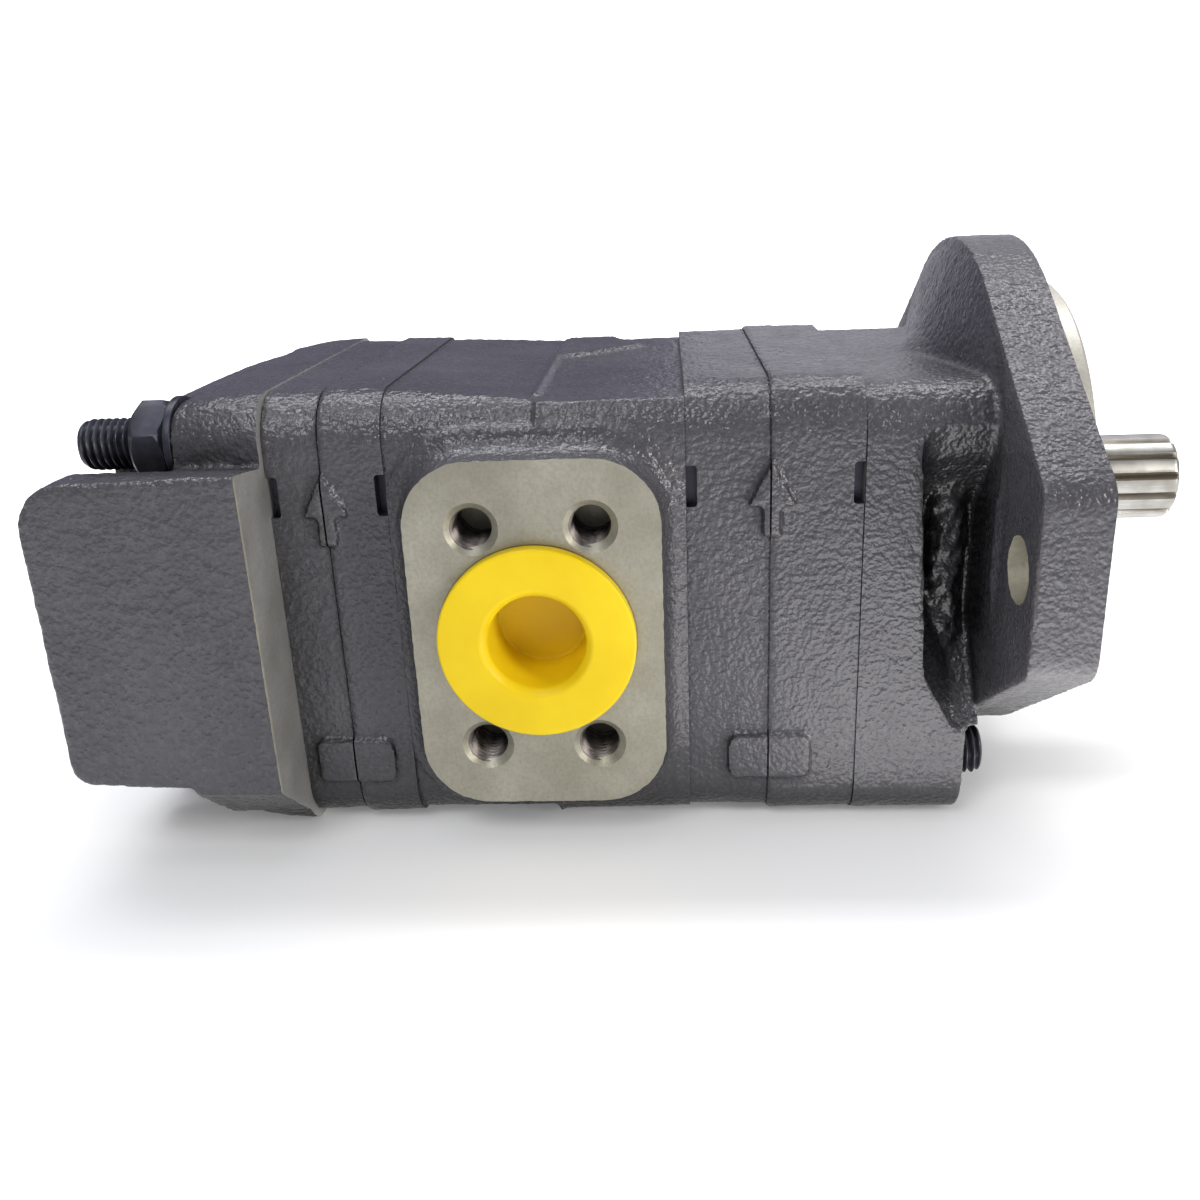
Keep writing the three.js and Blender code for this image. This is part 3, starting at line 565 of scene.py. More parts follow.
def black_oxide():
    """Blackened fastener steel, slightly oily, worn grey on its edges."""
    material, tree, shader = new_material("black_oxide")
    place = object_place(tree)
    bloom = noise_value(tree, place, 4 * MM, 4)
    colour = ramp(tree, bloom, (0.3, (0.030, 0.030, 0.042)), (0.7, (0.064, 0.064, 0.084)))
    wear = ramp(tree, edge_value(tree), (0.53, 0.0), (0.66, 0.7))
    colour = mixed(tree, wear, colour, (0.16, 0.16, 0.165))
    surface(tree, shader, colour, ramp(tree, bloom, (0.3, 0.34), (0.7, 0.52)), 0.6)
    bump(tree, shader, (noise_value(tree, place, 0.5 * MM, 3), 0.02 * MM, 0.4))
    return material


def yellow_plastic():
    """Moulded polyethylene: bright, slightly translucent, with faint flow marks."""
    material, tree, shader = new_material("yellow_plastic")
    place = object_place(tree)
    flow = noise_value(tree, place, 12 * MM, 3)
    colour = ramp(tree, flow, (0.3, (0.78, 0.55, 0.006)), (0.7, (0.84, 0.61, 0.010)))
    surface(tree, shader, colour, ramp(tree, flow, (0.3, 0.32), (0.7, 0.44)))
    shader.inputs["Specular IOR Level"].default_value = 0.25
    shader.inputs["Subsurface Weight"].default_value = 0.1
    shader.inputs["Subsurface Radius"].default_value = (1.0, 0.7, 0.1)
    shader.inputs["Subsurface Scale"].default_value = 3 * MM
    bump(tree, shader, (noise_value(tree, place, 0.6 * MM, 2), 0.01 * MM, 0.35))
    return material


def nitrile_rubber():
    material, tree, shader = new_material("nitrile_rubber")
    place = object_place(tree)
    dust = noise_value(tree, place, 3 * MM, 4)
    colour = ramp(tree, dust, (0.35, 0.012), (0.75, 0.035))
    surface(tree, shader, colour, ramp(tree, dust, (0.3, 0.55), (0.7, 0.75)))
    bump(tree, shader, (noise_value(tree, place, 0.3 * MM, 2), 0.01 * MM, 0.5))
    return material


PAINT = painted_iron()
IRON = machined_iron("machined_iron", (1.5, 1.49, 1.42))
BRIGHT = machined_iron("bright_iron", (2.4, 2.4, 2.5))  # the freshly turned pilot
SPRAYED = machined_iron("sprayed_iron", (2.0, 2.05, 2.3))  # the rear cover's cut faces
STEEL = bare_steel()
SPLINED = splined_steel()
TAPPED = tapped_steel()
OXIDE = black_oxide()
YELLOW = yellow_plastic()
RUBBER = nitrile_rubber()

# ---- features shared by the castings


def slab(start, end, material):
    """All the space between two joint faces. The material is left on the faces it cuts."""
    reach = 2 * REACH
    return block("slab", (start, -reach, -reach), (end, reach, reach), material)


def hollows(node, *regions):
    """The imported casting's own bores and pockets inside some regions, as solids to cut with."""
    inside = join(*regions) if len(regions) > 1 else regions[0]
    return cut(inside, cad_copy(node, IRON))


def body_core(start, end):
    """All the inside of a housing but a thin outer wall, for hollows()."""
    half = BODY_HALF - 4.3 * MM
    return block("core", (start, -half, BODY_MID - half), (end, half, BODY_MID + half), IRON)


def tube_region(radius, y, z, start, end):
    return prism("region", along_x, circle(radius, (y, z), 24), start, end, IRON)


def bore_regions(start, end, joint):
    """Space round a cover's bush pockets, stud holes and dowel holes, for hollows()."""
    half_y, low_z, high_z = 24 * MM, -52 * MM, 24 * MM
    regions = [block("region", (start, -half_y, low_z), (end, half_y, high_z), IRON)]
    regions += [tube_region(8 * MM, stud.y, stud.z, start, end) for stud in STUDS]
    for name in NODES:
        if name.startswith("dowel_") and abs(centre_of(name).x - joint) < MM:
            place = centre_of(name)
            regions.append(tube_region(4 * MM, place.y, place.z, joint - 8 * MM, joint + 8 * MM))
    return regions


def hollow_outline(rear, front, low, high):
    """A slot seen from the side: upper rear corner round, lower one slanted, and leaning to the rear."""
    corner, slant_height, slant_width = 5 * MM, 14 * MM, 6.5 * MM
    lean, upright_z = 0.06, -10 * MM
    outline = [(front, low), (front, high)]
    outline += arc(rear + corner, high - corner, corner, 90, 180, 6)
    outline += [(rear, low + slant_height), (rear + slant_width, low)]
    return [(x - lean * (z - upright_z), z) for x, z in outline]


def lumpy_rib(side, low, high):
    """An upright rib of uneven iron that fills most of the hollow's floor."""
    x, y, radius, lumps, lump_height = FLANGE_X - 20.5 * MM, side * 38 * MM, 4.7 * MM, 1.3 * MM, 2.3 * MM
    steps = 58
    sections = []
    for i in range(-1, steps + 2):
        z = low + (high - low) * i / steps
        outline = []
        for u, v in circle(1.0, steps=32):
            grown = radius + lumps * noise.noise(Vector((2.4 * u, 2.4 * v, z / lump_height)))
            outline.append((x + grown * u, y + grown * v))
        sections.append((outline, z))
    return loft("rib", along_z, sections, PAINT)


def neck_hollow(side):
    """A tall hollow beside the neck, shorter as it gets deeper, with a rib left standing in it."""
    place = towards_near if side < 0 else towards_far
    own = [stud.z for stud in STUDS if stud.y * side > 0]
    low, high = min(own) + 8.9 * MM, max(own) - 7.7 * MM
    front, outside, draft = FLANGE_X - 5 * MM, 57, 0.1
    sections = []
    # At each distance from the middle: how far the foot rises and the head grows, in millimetres.
    for depth, foot, head in (
        (37, 24, -14), (42, 18, -8), (47, 10, -2), (50, 5, 1), (52, 2.5, 5), (54, 1, 9), (outside, 0, 11),
    ):
        rear = NECK_HOLLOW_REAR + draft * (outside - depth) * MM
        outline = hollow_outline(rear, front, low + foot * MM, high + head * MM)
        sections.append((outline, depth * MM))
    return cut(loft("hollow", place, sections, PAINT), lumpy_rib(side, low, high))


def groove(x, half_width, depth, material):
    """A fine seam round the stack."""
    outside = body_section(3 * MM)
    inside = body_section(-depth)
    start, end = x - half_width, x + half_width
    sections = [(outside, start), (outside, end), (inside, end), (inside, start)]
    return loft("groove", along_x, sections, material, ring=True)


def joint_groove(x):
    """Where two castings meet."""
    return groove(x, SPLIT, 0.8 * MM, OXIDE)


def parting_groove(x):
    """The sharp foot of a casting's parting line."""
    return groove(x, 0.22 * MM, 0.95 * MM, PAINT)


def pry_slots(x, towards):
    """Slots on both sides of a joint face, from the face inwards."""
    low_z, high_z = 9.5 * MM, 19 * MM
    width, depth = 2.4 * MM, 4 * MM
    near_x, far_x = sorted((x - towards * MM, x + towards * width))
    slots = []
    for place in (towards_near, towards_far):
        half_x, half_z = (far_x - near_x) / 2, (high_z - low_z) / 2
        centre = ((near_x + far_x) / 2, (low_z + high_z) / 2)
        outline = rounded_rectangle(half_x, half_z, 0.8 * MM, centre, 4)
        # The slots' cut faces take the near-black oxide colour as painted shade inside the slots.
        slots.append(prism("slot", place, outline, BODY_HALF - depth, BODY_HALF + depth, OXIDE))
    return slots


def arrow(x):
    """Raised direction-of-turning arrow on the near side."""
    stem, wing = 1.9 * MM, 5 * MM
    foot, shoulder, tip = 3 * MM, 10 * MM, 19.5 * MM
    left = [(0, tip), (-wing, shoulder), (-stem, shoulder), (-stem, foot)]
    right = [(-u, v) for u, v in reversed(left[1:])]
    outline = [(x + u, v) for u, v in left + right]
    return prism("arrow", towards_near, outline, BODY_HALF - 2 * MM, BODY_HALF + 1.5 * MM, PAINT)


def blank_plate(x):
    outline = rounded_rectangle(9.5 * MM, 5.5 * MM, 2 * MM, (x, -52 * MM), 4)
    return prism("plate", towards_near, outline, BODY_HALF - 2 * MM, BODY_HALF + 1.2 * MM, PAINT)


# ---- castings


def mill_housing(skin, node, rear, front):
    """Mills both joint faces, opens the inside and marks the two joints."""
    keep(skin, slab(rear, front, IRON))
    inside = hollows(node, body_core(rear - OVERLAP, front + OVERLAP))
    return cut(skin, inside, joint_groove(rear), joint_groove(front))


def gear_housing(node, seed):
    """A plain housing between two joint faces, a little lower behind its parting line."""
    low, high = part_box(node)
    rear, front = low.x, high.x
    parting = rear + 0.48 * (front - rear)
    step = 0.3 * MM
    rear_drop = -0.3 * MM if node == "rear_gear_housing" else -0.9 * MM
    skin = loft(node, along_x, [
        (body_section(rear_drop), rear - STOCK), (body_section(-0.8 * MM), parting - step),
        (body_section(), parting + step), (body_section(-0.35 * MM), front + STOCK),
    ], PAINT)
    join(skin, arrow(parting), blank_plate(parting))
    cast_surface(skin, seed)
    mill_housing(skin, node, rear, front)
    cut(skin, parting_groove(parting - step), *pry_slots(rear, 1), *pry_slots(front, -1))
    return finish_piece(skin, node)


def port_pad(port):
    """A drafted pad with a hollow fillet at its foot."""
    fillet, draft = 4.5 * MM, 1.4 * MM
    height = port.face - BODY_HALF
    sections = [(fillet + draft, -3 * MM)]
    for i in range(7):
        rise = fillet * i / 6
        spread = fillet - math.sqrt(fillet**2 - (fillet - rise) ** 2)
        sections.append((spread + draft * (1 - rise / height), rise))
    sections.append((-0.3 * MM, height + STOCK))
    lofts = []
    for grow, rise in sections:
        outline = rounded_rectangle(
            port.half_x + grow, port.half_z + grow, port.corner + grow, (port.x, port.z), 12,
        )
        lofts.append((outline, BODY_HALF + rise))
    return loft("pad", port.place, lofts, PAINT)


def port_cuts(port):
    """Mill the pad, bore its port, and drill, tap and chamfer its four bolt holes."""
    face, middle = port.face, (port.x, port.z)
    wide = rounded_rectangle(port.half_x + STOCK, port.half_z + STOCK, STOCK, middle, 2)
    tools = [prism("mill", port.place, wide, face, face + REACH, IRON)]
    radius, floor = port.plug_radius + PLUG_GAP, face - PLUG_SEAT
    seat = [(radius, face + OVERLAP), (radius, floor), (port.bore, floor), (port.bore, BODY_HALF - 5 * MM)]
    tools.append(turned("seat", port.place, seat, IRON, middle, 96))
    for side_x in (-1, 1):
        for side_z in (-1, 1):
            centre = (port.x + side_x * port.bolt_x, port.z + side_z * port.bolt_z)
            bottom = face - port.bolt_depth
            tap = thread_sections(centre, bottom, face + OVERLAP, crest=5 * MM, root=4.3 * MM, pitch=1.5 * MM)
            tools.append(loft("tap", port.place, tap, TAPPED))
            chamfer = [(4.2 * MM, face - 1.7 * MM), (7.9 * MM, face + 1.7 * MM)]
            tools.append(turned("chamfer", port.place, chamfer, IRON, centre, 40))
    return tools


def carrier(seed):
    """The middle casting: port pads on both sides, and a top that falls away to the front, with a low lug."""
    node = "bearing_carrier"
    rear, front = CARRIER_REAR, CARRIER_FRONT
    parting = rear + 0.515 * (front - rear)
    ridge = 0.5 * MM
    skin = loft(node, along_x, [
        (body_section(-0.9 * MM), rear - STOCK), (body_section(-0.8 * MM), parting - ridge),
        (body_section(0.5 * MM), parting), (body_section(-0.1 * MM), parting + 2 * ridge),
        (body_section(-0.5 * MM), front + STOCK),
    ], PAINT)
    above, slope_start = BODY_TOP + 9 * MM, rear + 5 * MM
    relief = [
        (slope_start, above), (slope_start, BODY_TOP - MM), (rear + 40 * MM, BODY_TOP - 3.6 * MM),
        (front + STOCK, BODY_TOP - 3.2 * MM), (front + STOCK, above),
    ]
    cut(skin, prism("relief", towards_far, relief, -REACH, REACH, PAINT))
    lug_y, lug_top = 49 * MM, BODY_TOP - 2.3 * MM
    lug = [(parting, 12 * MM), (parting + 22 * MM, 30 * MM), (parting + 13 * MM, lug_y), (parting, lug_y)]
    ridge_y, ridge_top = 45 * MM, BODY_TOP - 1.9 * MM
    top_ridge = block("ridge", (parting - MM, -ridge_y, 0), (parting, ridge_y, ridge_top), PAINT)
    join(skin, prism("lug", along_z, lug, 0, lug_top, PAINT), top_ridge)
    join(skin, *[port_pad(port) for port in PORTS])
    cast_surface(skin, seed)
    mill_housing(skin, node, rear, front)
    for port in PORTS:
        cut(skin, *port_cuts(port))
    return finish_piece(skin, node)


def front_cover(seed):
    """Flange, hollowed neck and flared hub, with the machined pilot and seal bore."""
    node = "front_cover"
    half_z = (COVER_TOP - BODY_BOTTOM) / 2
    outline = rounded_rectangle(BODY_HALF, half_z, BODY_CORNER, (0, BODY_BOTTOM + half_z))
    skin = prism(node, along_x, outline, FRONT_JOINT - STOCK, FLANGE_REAR + MM, PAINT)
    # The hub's flare, as (radius, place from the flange's face) in millimetres.
    hub = [(30, -27), (34, -26), (36, -23.8), (37.6, -22), (39.8, -20.2), (43.5, -18.6), (48, -17.3),
           (53, -16.1), (57.5, -14.9), (60.5, -13.8), (60.5, -12)]
    join(skin, turned("hub", along_x, [(r * MM, FLANGE_X + x * MM) for r, x in hub], PAINT, steps=96))
    stud_corner_x, stud_corner_y, stud_corner_top = FLANGE_REAR - 2.5 * MM, 32 * MM, -46 * MM
    for side in (-1, 1):
        y = sorted((side * stud_corner_y, side * REACH))
        corner = block("corner", (stud_corner_x, y[0], -REACH), (FLANGE_X, y[1], stud_corner_top), PAINT)
        cut(skin, neck_hollow(side), corner)
    pit = circle(0.9 * MM, (FLANGE_X - 30.6 * MM, -2 * MM), 16)
    cut(skin, prism("pit", towards_near, pit, BODY_HALF - 1.6 * MM, BODY_HALF + OVERLAP, PAINT))
    join(skin, prism("flange", along_x, flange_outline(-0.1 * MM), FLANGE_REAR, FLANGE_X + STOCK, PAINT))
    cast_surface(skin, seed)
    keep(skin, slab(FRONT_JOINT, FLANGE_X, IRON))
    radius, chamfer = PILOT_RADIUS, 0.9 * MM
    pilot = [(radius, FLANGE_X - OVERLAP), (radius, PILOT_X - chamfer), (radius - chamfer, PILOT_X)]
    join(skin, turned("pilot", along_x, pilot, BRIGHT, steps=160))
    floor_x, shaft_bore = FLANGE_X - 4 * MM, 12 * MM
    seal_bore = [
        (shaft_bore, floor_x - 5 * MM), (shaft_bore, floor_x), (SEAL_BORE_RADIUS, floor_x),
        (SEAL_BORE_RADIUS, PILOT_X - OVERLAP), (SEAL_BORE_RADIUS + 2 * OVERLAP, PILOT_X + OVERLAP),
    ]
    tools = [turned("seal_bore", along_x, seal_bore, IRON, steps=96)]
    for side in (-1, 1):
        bolt_hole = [(BOLT_HOLE_RADIUS, FLANGE_REAR - 5 * MM), (BOLT_HOLE_RADIUS, FLANGE_X + MM)]
        tools.append(turned("bolt_hole", along_x, bolt_hole, IRON, (side * BOLT_HOLE_Y, 0)))
    bores = bore_regions(FRONT_JOINT - MM, FLANGE_X - 7 * MM, FRONT_JOINT)
    cut(skin, *tools, hollows(node, *bores), joint_groove(FRONT_JOINT))
    return finish_piece(skin, node)


def dome():
    """The rear cover's body, drawn in towards the rear."""
    steps = 20
    sections = []
    for i in range(steps + 1):
        run = i / steps
        inset = DOME_INSET * run**2
        half_y = BODY_HALF + DOME_LIP - inset
        outline = rounded_rectangle(half_y, BODY_HALF_Z - inset, 10 * MM, (0, BODY_MID))
        sections.append((outline, REAR_JOINT - DOME_LENGTH * run))
    sections.insert(0, (sections[0][0], REAR_JOINT + STOCK))
    return loft("rear_cover", along_x, sections, PAINT)


def valve_block():
    """The block cast on the near side; behind its outer wall the top steps down to clear the nut."""
    top, bottom = 24 * MM, -51 * MM
    rear_top, rear_bottom = top - 1 * MM, bottom + 2.4 * MM
    inner, shelf, wall_top = -22 * MM, 12.5 * MM, 21.8 * MM
    upper, lower = 11 * MM, 5 * MM
    front = REAR_JOINT + STOCK
    side_view = [(front, bottom), (front, top)]
    side_view += arc(BLOCK_REAR + upper, rear_top - upper, upper, 90, 180, 24)
    side_view += arc(BLOCK_REAR + lower, rear_bottom + lower, lower, 180, 266, 16)
    outer = BLOCK_SIDE
    foot = [(outer, top), (outer, bottom), (inner, bottom)]
    stepped = foot + [(inner, shelf), (BLOCK_WALL_Y, shelf), (BLOCK_WALL_Y, wall_top)]
    full = foot + [(inner, wall_top), (BLOCK_WALL_Y, wall_top)]
    body = prism("block", along_x, stepped, BLOCK_REAR, front, PAINT)
    join(body, prism("full", along_x, full, NUT_SEAT, front, PAINT))
    keep(body, prism("side_view", towards_near, side_view, -inner - OVERLAP, REACH, PAINT))
    web_top, web_bottom, web_inner = bottom + OVERLAP, -66 * MM, -40 * MM
    web = [(web_inner, web_top), (outer, web_top), (outer, bottom)]
    web += [(-54 * MM, web_bottom), (web_inner, web_bottom)]
    return join(body, prism("web", along_x, web, NUT_SEAT, front, PAINT))


def nut_pockets():
    """Corner pockets for the nuts; those on the near side stop at the block's outer wall."""
    reach = 12 * MM
    pockets = []
    for stud in STUDS:
        side_y, side_z = math.copysign(1, stud.y), math.copysign(1, stud.z - BODY_MID)
        out_y = BLOCK_WALL_Y if side_y < 0 else REACH
        y = sorted((stud.y - side_y * reach, out_y))
        z = sorted((stud.z - side_z * (reach if side_z > 0 else reach - MM), side_z * REACH))
        pockets.append(block("pocket", (BLOCK_REAR - REACH, y[0], z[0]), (NUT_SEAT, y[1], z[1]), PAINT))
    return pockets


def rear_cover(seed):
    node = "rear_cover"
    skin = join(dome(), valve_block())
    cut(skin, *nut_pockets())
    cast_surface(skin, seed, grain=2.4 * MM, height=0.2 * MM)
    keep(skin, slab(BLOCK_REAR, REAR_JOINT, SPRAYED))
    worn_x, worn_y, front = REAR_JOINT - 0.2 * MM, BLOCK_SIDE + 0.4 * MM, REAR_JOINT + OVERLAP
    worn = [
        (worn_x, BLOCK_SIDE - OVERLAP), (front, BLOCK_SIDE - OVERLAP), (front, BLOCK_SIDE + OVERLAP),
        (REAR_JOINT, worn_y), (worn_x, BLOCK_SIDE),
    ]
    cut(skin, prism("worn_edge", along_z, worn, -REACH, REACH, IRON))
    seats = []
    for stud in STUDS:
        seat = [(NUT_SEAT_RADIUS, NUT_SEAT - 14 * MM), (NUT_SEAT_RADIUS, NUT_SEAT)]
        seats.append(turned("seat", along_x, seat, IRON, (stud.y, stud.z)))
    radius, bore, floor = REAR_PLUG_RADIUS + 2 * PLUG_GAP, REAR_PORT_RADIUS, BLOCK_REAR + PLUG_SEAT
    port = [(radius, BLOCK_REAR - OVERLAP), (radius, floor), (bore, floor), (bore, front)]
    seats.append(turned("port", along_x, port, IRON, REAR_PLUG_CENTRE, 96))
    cut(skin, *seats, hollows(node, *bore_regions(NUT_SEAT - 4 * MM, front, REAR_JOINT)))
    return finish_piece(skin, node)


gear_housing("front_gear_housing", 1)
gear_housing("rear_gear_housing", 2)
carrier(3)
front_cover(4)
rear_cover(5)

# ---- fasteners, shaft and plugs


def fillet(points, radius, steps=4):
    """Rounds the inner corners of an open profile of (radius, depth)."""
    rounded = [points[0]]
    for before, corner, after in zip(points, points[1:], points[2:]):
        start, middle, end = Vector(before), Vector(corner), Vector(after)
        reach = min(radius, (start - middle).length * 0.45, (end - middle).length * 0.45)
        first = middle + (start - middle).normalized() * reach
        last = middle + (end - middle).normalized() * reach
        for i in range(steps + 1):
            t = i / steps
            rounded.append(tuple(first * (1 - t) ** 2 + middle * 2 * t * (1 - t) + last * t**2))
    return rounded + [points[-1]]


def stud(number):
    """A long stud: threaded at both ends, with rounded tips and a plain shank between."""
    node = f"stud_{number}"
    low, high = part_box(node)
    centre = (centre_of(node).y, centre_of(node).z)
    pitch, root, shank = 1.75 * MM, STUD_RADIUS - 1.05 * MM, STUD_RADIUS - 0.2 * MM
    rear_thread, front_thread = low.x + 34 * MM, high.x - 16 * MM
    sections = thread_sections(centre, low.x, rear_thread, STUD_RADIUS, root, pitch, round_start=3 * MM)
    sections += [(circle(shank, centre, 56), x) for x in (rear_thread + MM, front_thread - MM)]
    sections += thread_sections(centre, front_thread, high.x, STUD_RADIUS, root, pitch, round_end=2 * MM)
    return finish_piece(loft(node, along_x, sections, OXIDE), node, 50)


def edge_round(obj, width):
    """Rounds every sharp edge."""
    bevel = obj.modifiers.new("round", "BEVEL")
    bevel.width = width
    bevel.segments = 2
    bevel.limit_method = "ANGLE"
    bevel.angle_limit = math.radians(35)
    apply_modifiers(obj)


def nut(number):
    """A hexagon nut, chamfered to a circle at both faces, with a countersunk bore."""
    node = f"nut_{number}"
    low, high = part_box(node)
    stud_place = STUDS[number - 1]
    centre = (stud_place.y, stud_place.z)
    flat, turn = 9 * MM, 40  # from the axis to a flat, and the first corner's angle
    corner = flat / math.cos(math.radians(30))
    outline = arc(*centre, corner, turn, turn + 300, 5)
    body = prism(node, along_x, outline, low.x, high.x, OXIDE)
    face, chamfer = flat * 0.9, 2.2 * MM
    envelope = [(face, low.x), (corner, low.x + chamfer), (corner, high.x - chamfer), (face, high.x)]
    keep(body, turned("envelope", along_x, envelope, OXIDE, centre, 96))
    bore, sink, past = STUD_RADIUS + 0.25 * MM, 0.8 * MM, 0.1 * MM
    wide = bore + sink
    hole = [(wide, low.x - past), (bore, low.x + sink), (bore, high.x - sink), (wide, high.x + past)]
    cut(body, turned("hole", along_x, hole, OXIDE, centre, 64))
    edge_round(body, 0.35 * MM)
    return finish_piece(body, node)


def washer(number):
    """A flat ring with rounded edges."""
    node = f"washer_{number}"
    low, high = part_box(node)
    centre = (centre_of(node).y, centre_of(node).z)
    inner, outer = 6.5 * MM, 10.6 * MM
    corners = [(inner, low.x), (outer, low.x), (outer, high.x), (inner, high.x)]
    closed = fillet([corners[-1], *corners, corners[0]], 0.3 * MM)[1:-1]
    return finish_piece(turned(node, along_x, closed, OXIDE, centre, 72, ring=True), node)


def spline_section(limit, land=0.62):
    """The splined end's outline, wide lands and narrow round-bottomed grooves, turned down to a limit."""
    outline = []
    for i in range(SPLINE_TEETH * STEPS_PER_TOOTH):
        phase = i / STEPS_PER_TOOTH % 1.0
        offset = abs(phase - 0.5) * 2  # 0 in the middle of a land, 1 in the middle of a groove
        fall = min(1.0, max(0.0, (offset - land) / (1 - land)))
        radius = min(limit, SPLINE_TIP - (SPLINE_TIP - SPLINE_ROOT) * math.sin(fall * math.pi / 2))
        angle = 2 * math.pi * i / (SPLINE_TEETH * STEPS_PER_TOOTH)
        outline.append((radius * math.cos(angle), radius * math.sin(angle)))
    return outline


def drive_shaft():
    """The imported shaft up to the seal, and a finely splined end with a rounded nose and a centre hole."""
    node = "drive_shaft"
    end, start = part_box(node)[1].x, FLANGE_X + 6 * MM
    nose = 1.6 * MM
    skin = cad_copy(node, STEEL)
    cut(skin, block("front", (start - MM, -REACH, -REACH), (end + MM, REACH, REACH), STEEL))
    journal = circle(JOURNAL_RADIUS, steps=SPLINE_TEETH * STEPS_PER_TOOTH)
    sections = [(journal, start - 1.2 * MM), (journal, start - 0.2 * MM)]
    sections.append((spline_section(SPLINE_TIP), start + 0.8 * MM))
    sections.append((spline_section(SPLINE_TIP), end - nose))
    for i in range(1, 7):
        angle = math.radians(90 * i / 6)
        limit = SPLINE_TIP - nose * (1 - math.cos(angle))
        sections.append((spline_section(limit), end - nose * (1 - math.sin(angle))))
    splined = loft("splined", along_x, sections, SPLINED)
    drilled = 1.6 * MM
    centre_hole = [
        (0.05 * MM, end - 7 * MM), (drilled, end - 6 * MM), (drilled, end - 3 * MM), (3.6 * MM, end + MM),
    ]
    cut(splined, turned("centre_hole", along_x, centre_hole, STEEL))
    join(skin, splined)
    return finish_piece(skin, node, 40)


def plug(port_name, place, centre, face, bore, flange_radius):
    """A flanged shipping plug: hollow, closed at the bottom, with a chamfered mouth."""
    node = f"{port_name}_port_plug"
    seat = face - 0.2 * MM
    stem, inner, mouth = bore - 0.4 * MM, bore - 1.6 * MM, bore - 0.2 * MM
    depth, floor, flange = 16 * MM, 2 * MM, 3.5 * MM
    end, top, axis = seat - depth, seat + flange, 0.01 * MM
    outside = [
        (axis, end), (stem - 0.8 * MM, end), (stem, end + 2 * MM), (stem, seat),
        (flange_radius, seat), (flange_radius, top),
    ]
    inside = [(mouth, top), (inner, top - 1.6 * MM), (inner - 0.3 * MM, end + floor), (axis, end + floor)]
    body = turned(node, place, fillet(outside + inside, 0.7 * MM, 5), YELLOW, centre, 128)
    return finish_piece(body, node, 40)


def shaft_seal():
    """A lip seal: outer case, dished face and a lip held by a garter spring's groove."""
    node = "shaft_seal"
    low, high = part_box(node)
    outer, back, front = high.z, low.x, high.x
    profile = [
        (11.3 * MM, back), (outer, back), (outer, front), (18.2 * MM, front), (17.4 * MM, front - 0.8 * MM),
        (16.2 * MM, front - 0.8 * MM), (14.6 * MM, front - 2.4 * MM), (13 * MM, front - 2.6 * MM),
        (12.1 * MM, front - 1.2 * MM), (11.4 * MM, front - 0.9 * MM), (11.2 * MM, front - 1.6 * MM),
    ]
    closed = fillet([profile[-1], *profile, profile[0]], 0.3 * MM)[1:-1]
    return finish_piece(turned(node, along_x, closed, RUBBER, steps=128, ring=True), node)


def retaining_ring():
    """An internal circlip: an open ring with a drilled lug at each end."""
    node = "seal_retaining_ring"
    low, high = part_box(node)
    outer, inner, half_gap = high.y, 18.3 * MM, 13
    outline = arc(0, 0, outer, 90 + half_gap, 450 - half_gap, 120)
    outline += arc(0, 0, inner, 450 - half_gap, 90 + half_gap, 120)
    ring = prism(node, along_x, outline, low.x, high.x, OXIDE)
    lug_radius, holes = 17.6 * MM, []
    for angle in (90 + half_gap + 4, 90 - half_gap - 4):
        centre = (lug_radius * math.cos(math.radians(angle)), lug_radius * math.sin(math.radians(angle)))
        join(ring, prism("lug", along_x, circle(2.3 * MM, centre, 32), low.x, high.x, OXIDE))
        holes.append(prism("hole", along_x, circle(0.9 * MM, centre, 24), low.x - MM, high.x + MM, OXIDE))
    cut(ring, *holes)
    return finish_piece(ring, node)


for number in (1, 2, 3, 4):
    stud(number)
    nut(number)
    washer(number)
drive_shaft()
for port in PORTS:
    plug(port.name, port.place, (port.x, port.z), port.face, port.bore, port.plug_radius)
plug("rear", towards_rear, REAR_PLUG_CENTRE, -BLOCK_REAR, REAR_PORT_RADIUS, REAR_PLUG_RADIUS)
shaft_seal()
retaining_ring()

# ---- studio


def studio_floor():
    """A pale floor that sweeps up behind the pump."""
    level = cad_low.z - 0.2 * MM
    half, back, sweep = 6.0, 3.5, 1.6
    path = [(-half, level), *arc(back - sweep, level + sweep, sweep, -90, 0, 16), (back, level + half)]
    vertices = [(x, y, z) for x in (-half, half) for y, z in path]
    count = len(path)
    faces = [(i, i + 1, count + i + 1, count + i) for i in range(count - 1)]
    mesh = bpy.data.meshes.new("floor")
    mesh.from_pydata(vertices, [], faces)
    mesh.polygons.foreach_set("use_smooth", [True] * len(mesh.polygons))
    material, tree, shader = new_material("pale_floor")
    tone = noise_value(tree, object_place(tree), 0.5, 2)
    tree.links.new(ramp(tree, tone, (0.3, 0.84), (0.7, 0.87)), shader.inputs["Base Color"])
    shader.inputs["Roughness"].default_value = 0.7
    shader.inputs["Emission Color"].default_value = (1, 1, 1, 1)
    shader.inputs["Emission Strength"].default_value = 0.14
    mesh.materials.append(material)
    add_object("floor", mesh)


def card(name, left, right, colour):
    """A glowing card behind the pump. Only reflections see it, chiefly those in the pump's top."""
    bottom, top, distance, thickness = -0.1, 0.5, 0.2, 0.001
    outline = [(left, bottom), (right, bottom), (right, top), (left, top)]
    material, tree, shader = new_material(name)
    shade = noise_value(tree, object_place(tree), 0.4, 1)
    dim = tuple(0.85 * part for part in colour)
    tree.links.new(ramp(tree, shade, (0.3, dim), (0.7, colour)), shader.inputs["Emission Color"])
    shader.inputs["Emission Strength"].default_value = 1.0
    shader.inputs["Base Color"].default_value = (0, 0, 0, 1)
    board = prism(name, towards_far, outline, distance, distance + thickness, material)
    board.visible_camera = board.visible_diffuse = False
    board.visible_shadow = board.visible_transmission = False


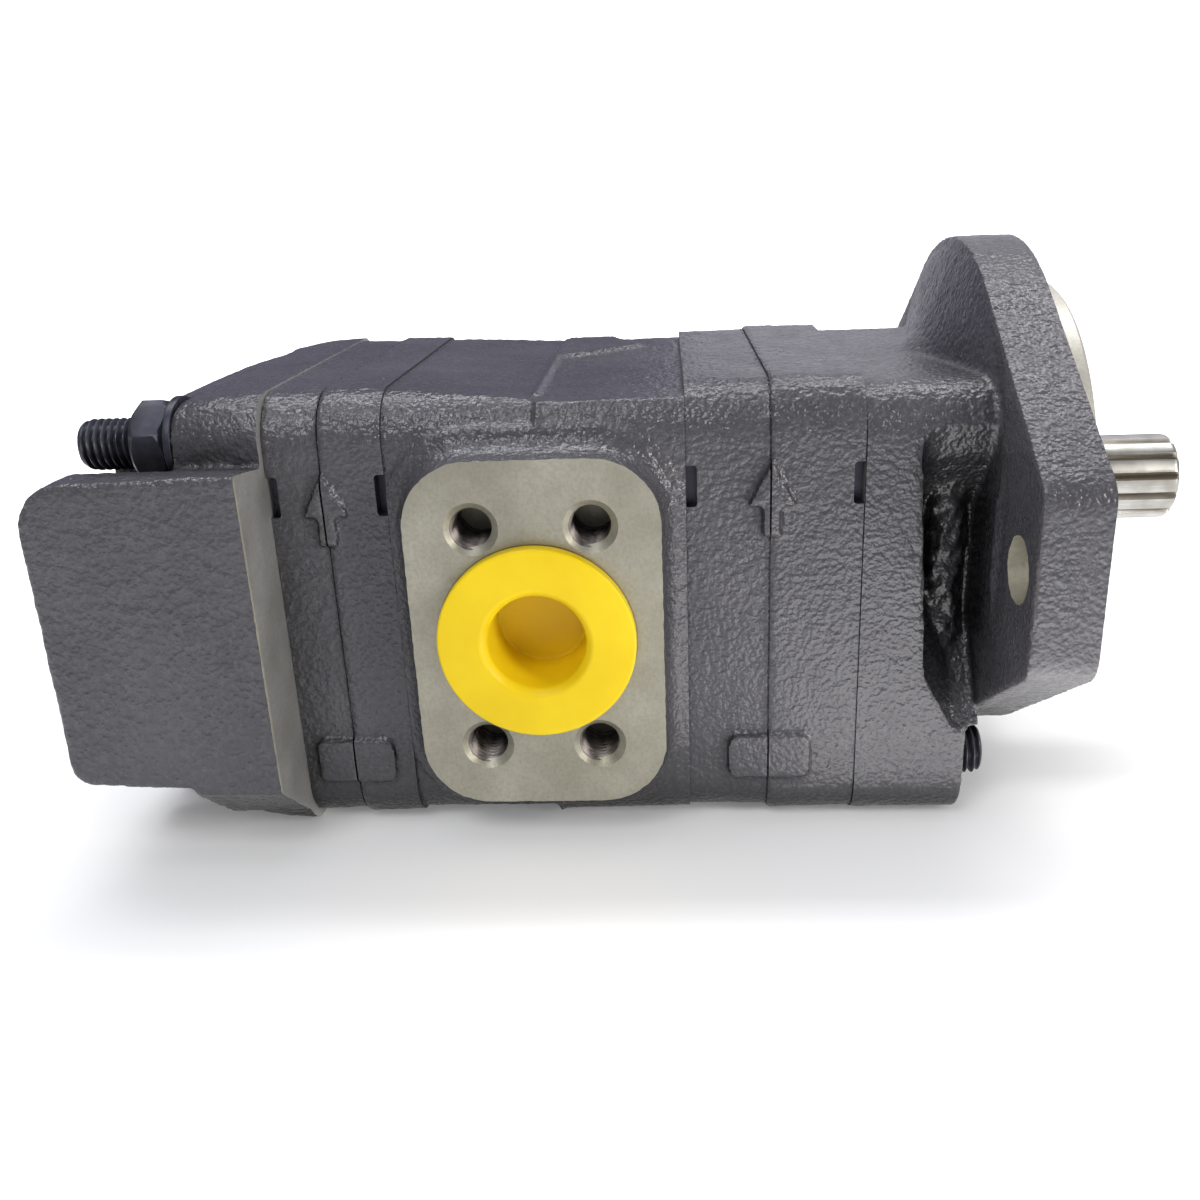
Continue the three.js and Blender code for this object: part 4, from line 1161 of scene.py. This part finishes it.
def softbox(name, place, target, size, power, colour):
    light = bpy.data.lights.new(name, "AREA")
    light.shape = "RECTANGLE"
    light.size, light.size_y = size
    light.energy = power
    light.color = colour
    obj = add_object(name, light)
    obj.location = place
    obj.visible_camera = False
    obj.rotation_mode = "QUATERNION"
    obj.rotation_quaternion = (target - place).to_track_quat("-Z", "Y")


def studio_lights():
    middle = (cad_low + cad_high) / 2
    front = Vector((FLANGE_X - 5 * MM, -0.16, cad_low.z + 2 * MM))
    softbox("sky", middle + Vector((-0.15, 0.1, 0.95)), middle, (0.9, 0.7), 2.4, (0.84, 0.87, 1.0))
    softbox("back", middle + Vector((0.34, 0.9, 0.42)), middle, (0.7, 0.4), 0.9, (0.6, 0.58, 1.0))
    softbox("window", middle + Vector((0.62, -0.42, 0.22)), middle, (0.16, 0.3), 2.6, (1.0, 0.97, 0.93))
    softbox("fill", middle + Vector((-0.3, -0.72, 0.8)), middle, (0.4, 0.4), 3.5, (0.95, 0.97, 1.0))
    softbox("bounce", front, front + Vector((0, 0, 1)), (0.1, 0.18), 0.13, (1.0, 0.98, 0.95))
    backdrop, wall = middle + Vector((0, 0.6, 1.7)), middle + Vector((0, 3.2, 0.2))
    softbox("backdrop", backdrop, wall, (2.4, 1.2), 120, (1, 1, 1))
    world = bpy.data.worlds.new("studio")
    world.use_nodes = True
    background = world.node_tree.nodes["Background"]
    background.inputs["Color"].default_value = (0.95, 0.96, 1.0, 1)
    background.inputs["Strength"].default_value = 0.32
    bpy.context.scene.world = world
    bpy.context.scene.view_settings.view_transform = "Standard"


def camera():
    """Looks at the near side from 20 degrees above, slightly left of square."""
    lens, sensor = 34.0, 36.0
    yaw, pitch, roll = (math.radians(a) for a in (-3.83, 20.19, 2.51))
    forward = Vector((math.sin(yaw) * math.cos(pitch), math.cos(yaw) * math.cos(pitch), -math.sin(pitch)))
    level = Vector((math.cos(yaw), -math.sin(yaw), 0))
    down = forward.cross(level)
    right = math.cos(roll) * level + math.sin(roll) * down
    up = math.sin(roll) * level - math.cos(roll) * down
    data = bpy.data.cameras.new("camera")
    data.lens, data.sensor_width = lens, sensor
    obj = add_object("camera", data)
    place = Vector((FLANGE_X - 84.8 * MM, -297 * MM, 77.9 * MM))
    axes = Matrix((right, up, -forward)).transposed()
    obj.matrix_world = Matrix.Translation(place) @ axes.to_4x4()
    bpy.context.scene.camera = obj


studio_floor()
cards_meet = FLANGE_X - 80 * MM
card("dark_card", FLANGE_X - 1.0, cards_meet, (0.115, 0.11, 0.185))
card("pale_card", cards_meet, FLANGE_X + 0.3, (0.72, 0.70, 0.79))
studio_lights()
camera()
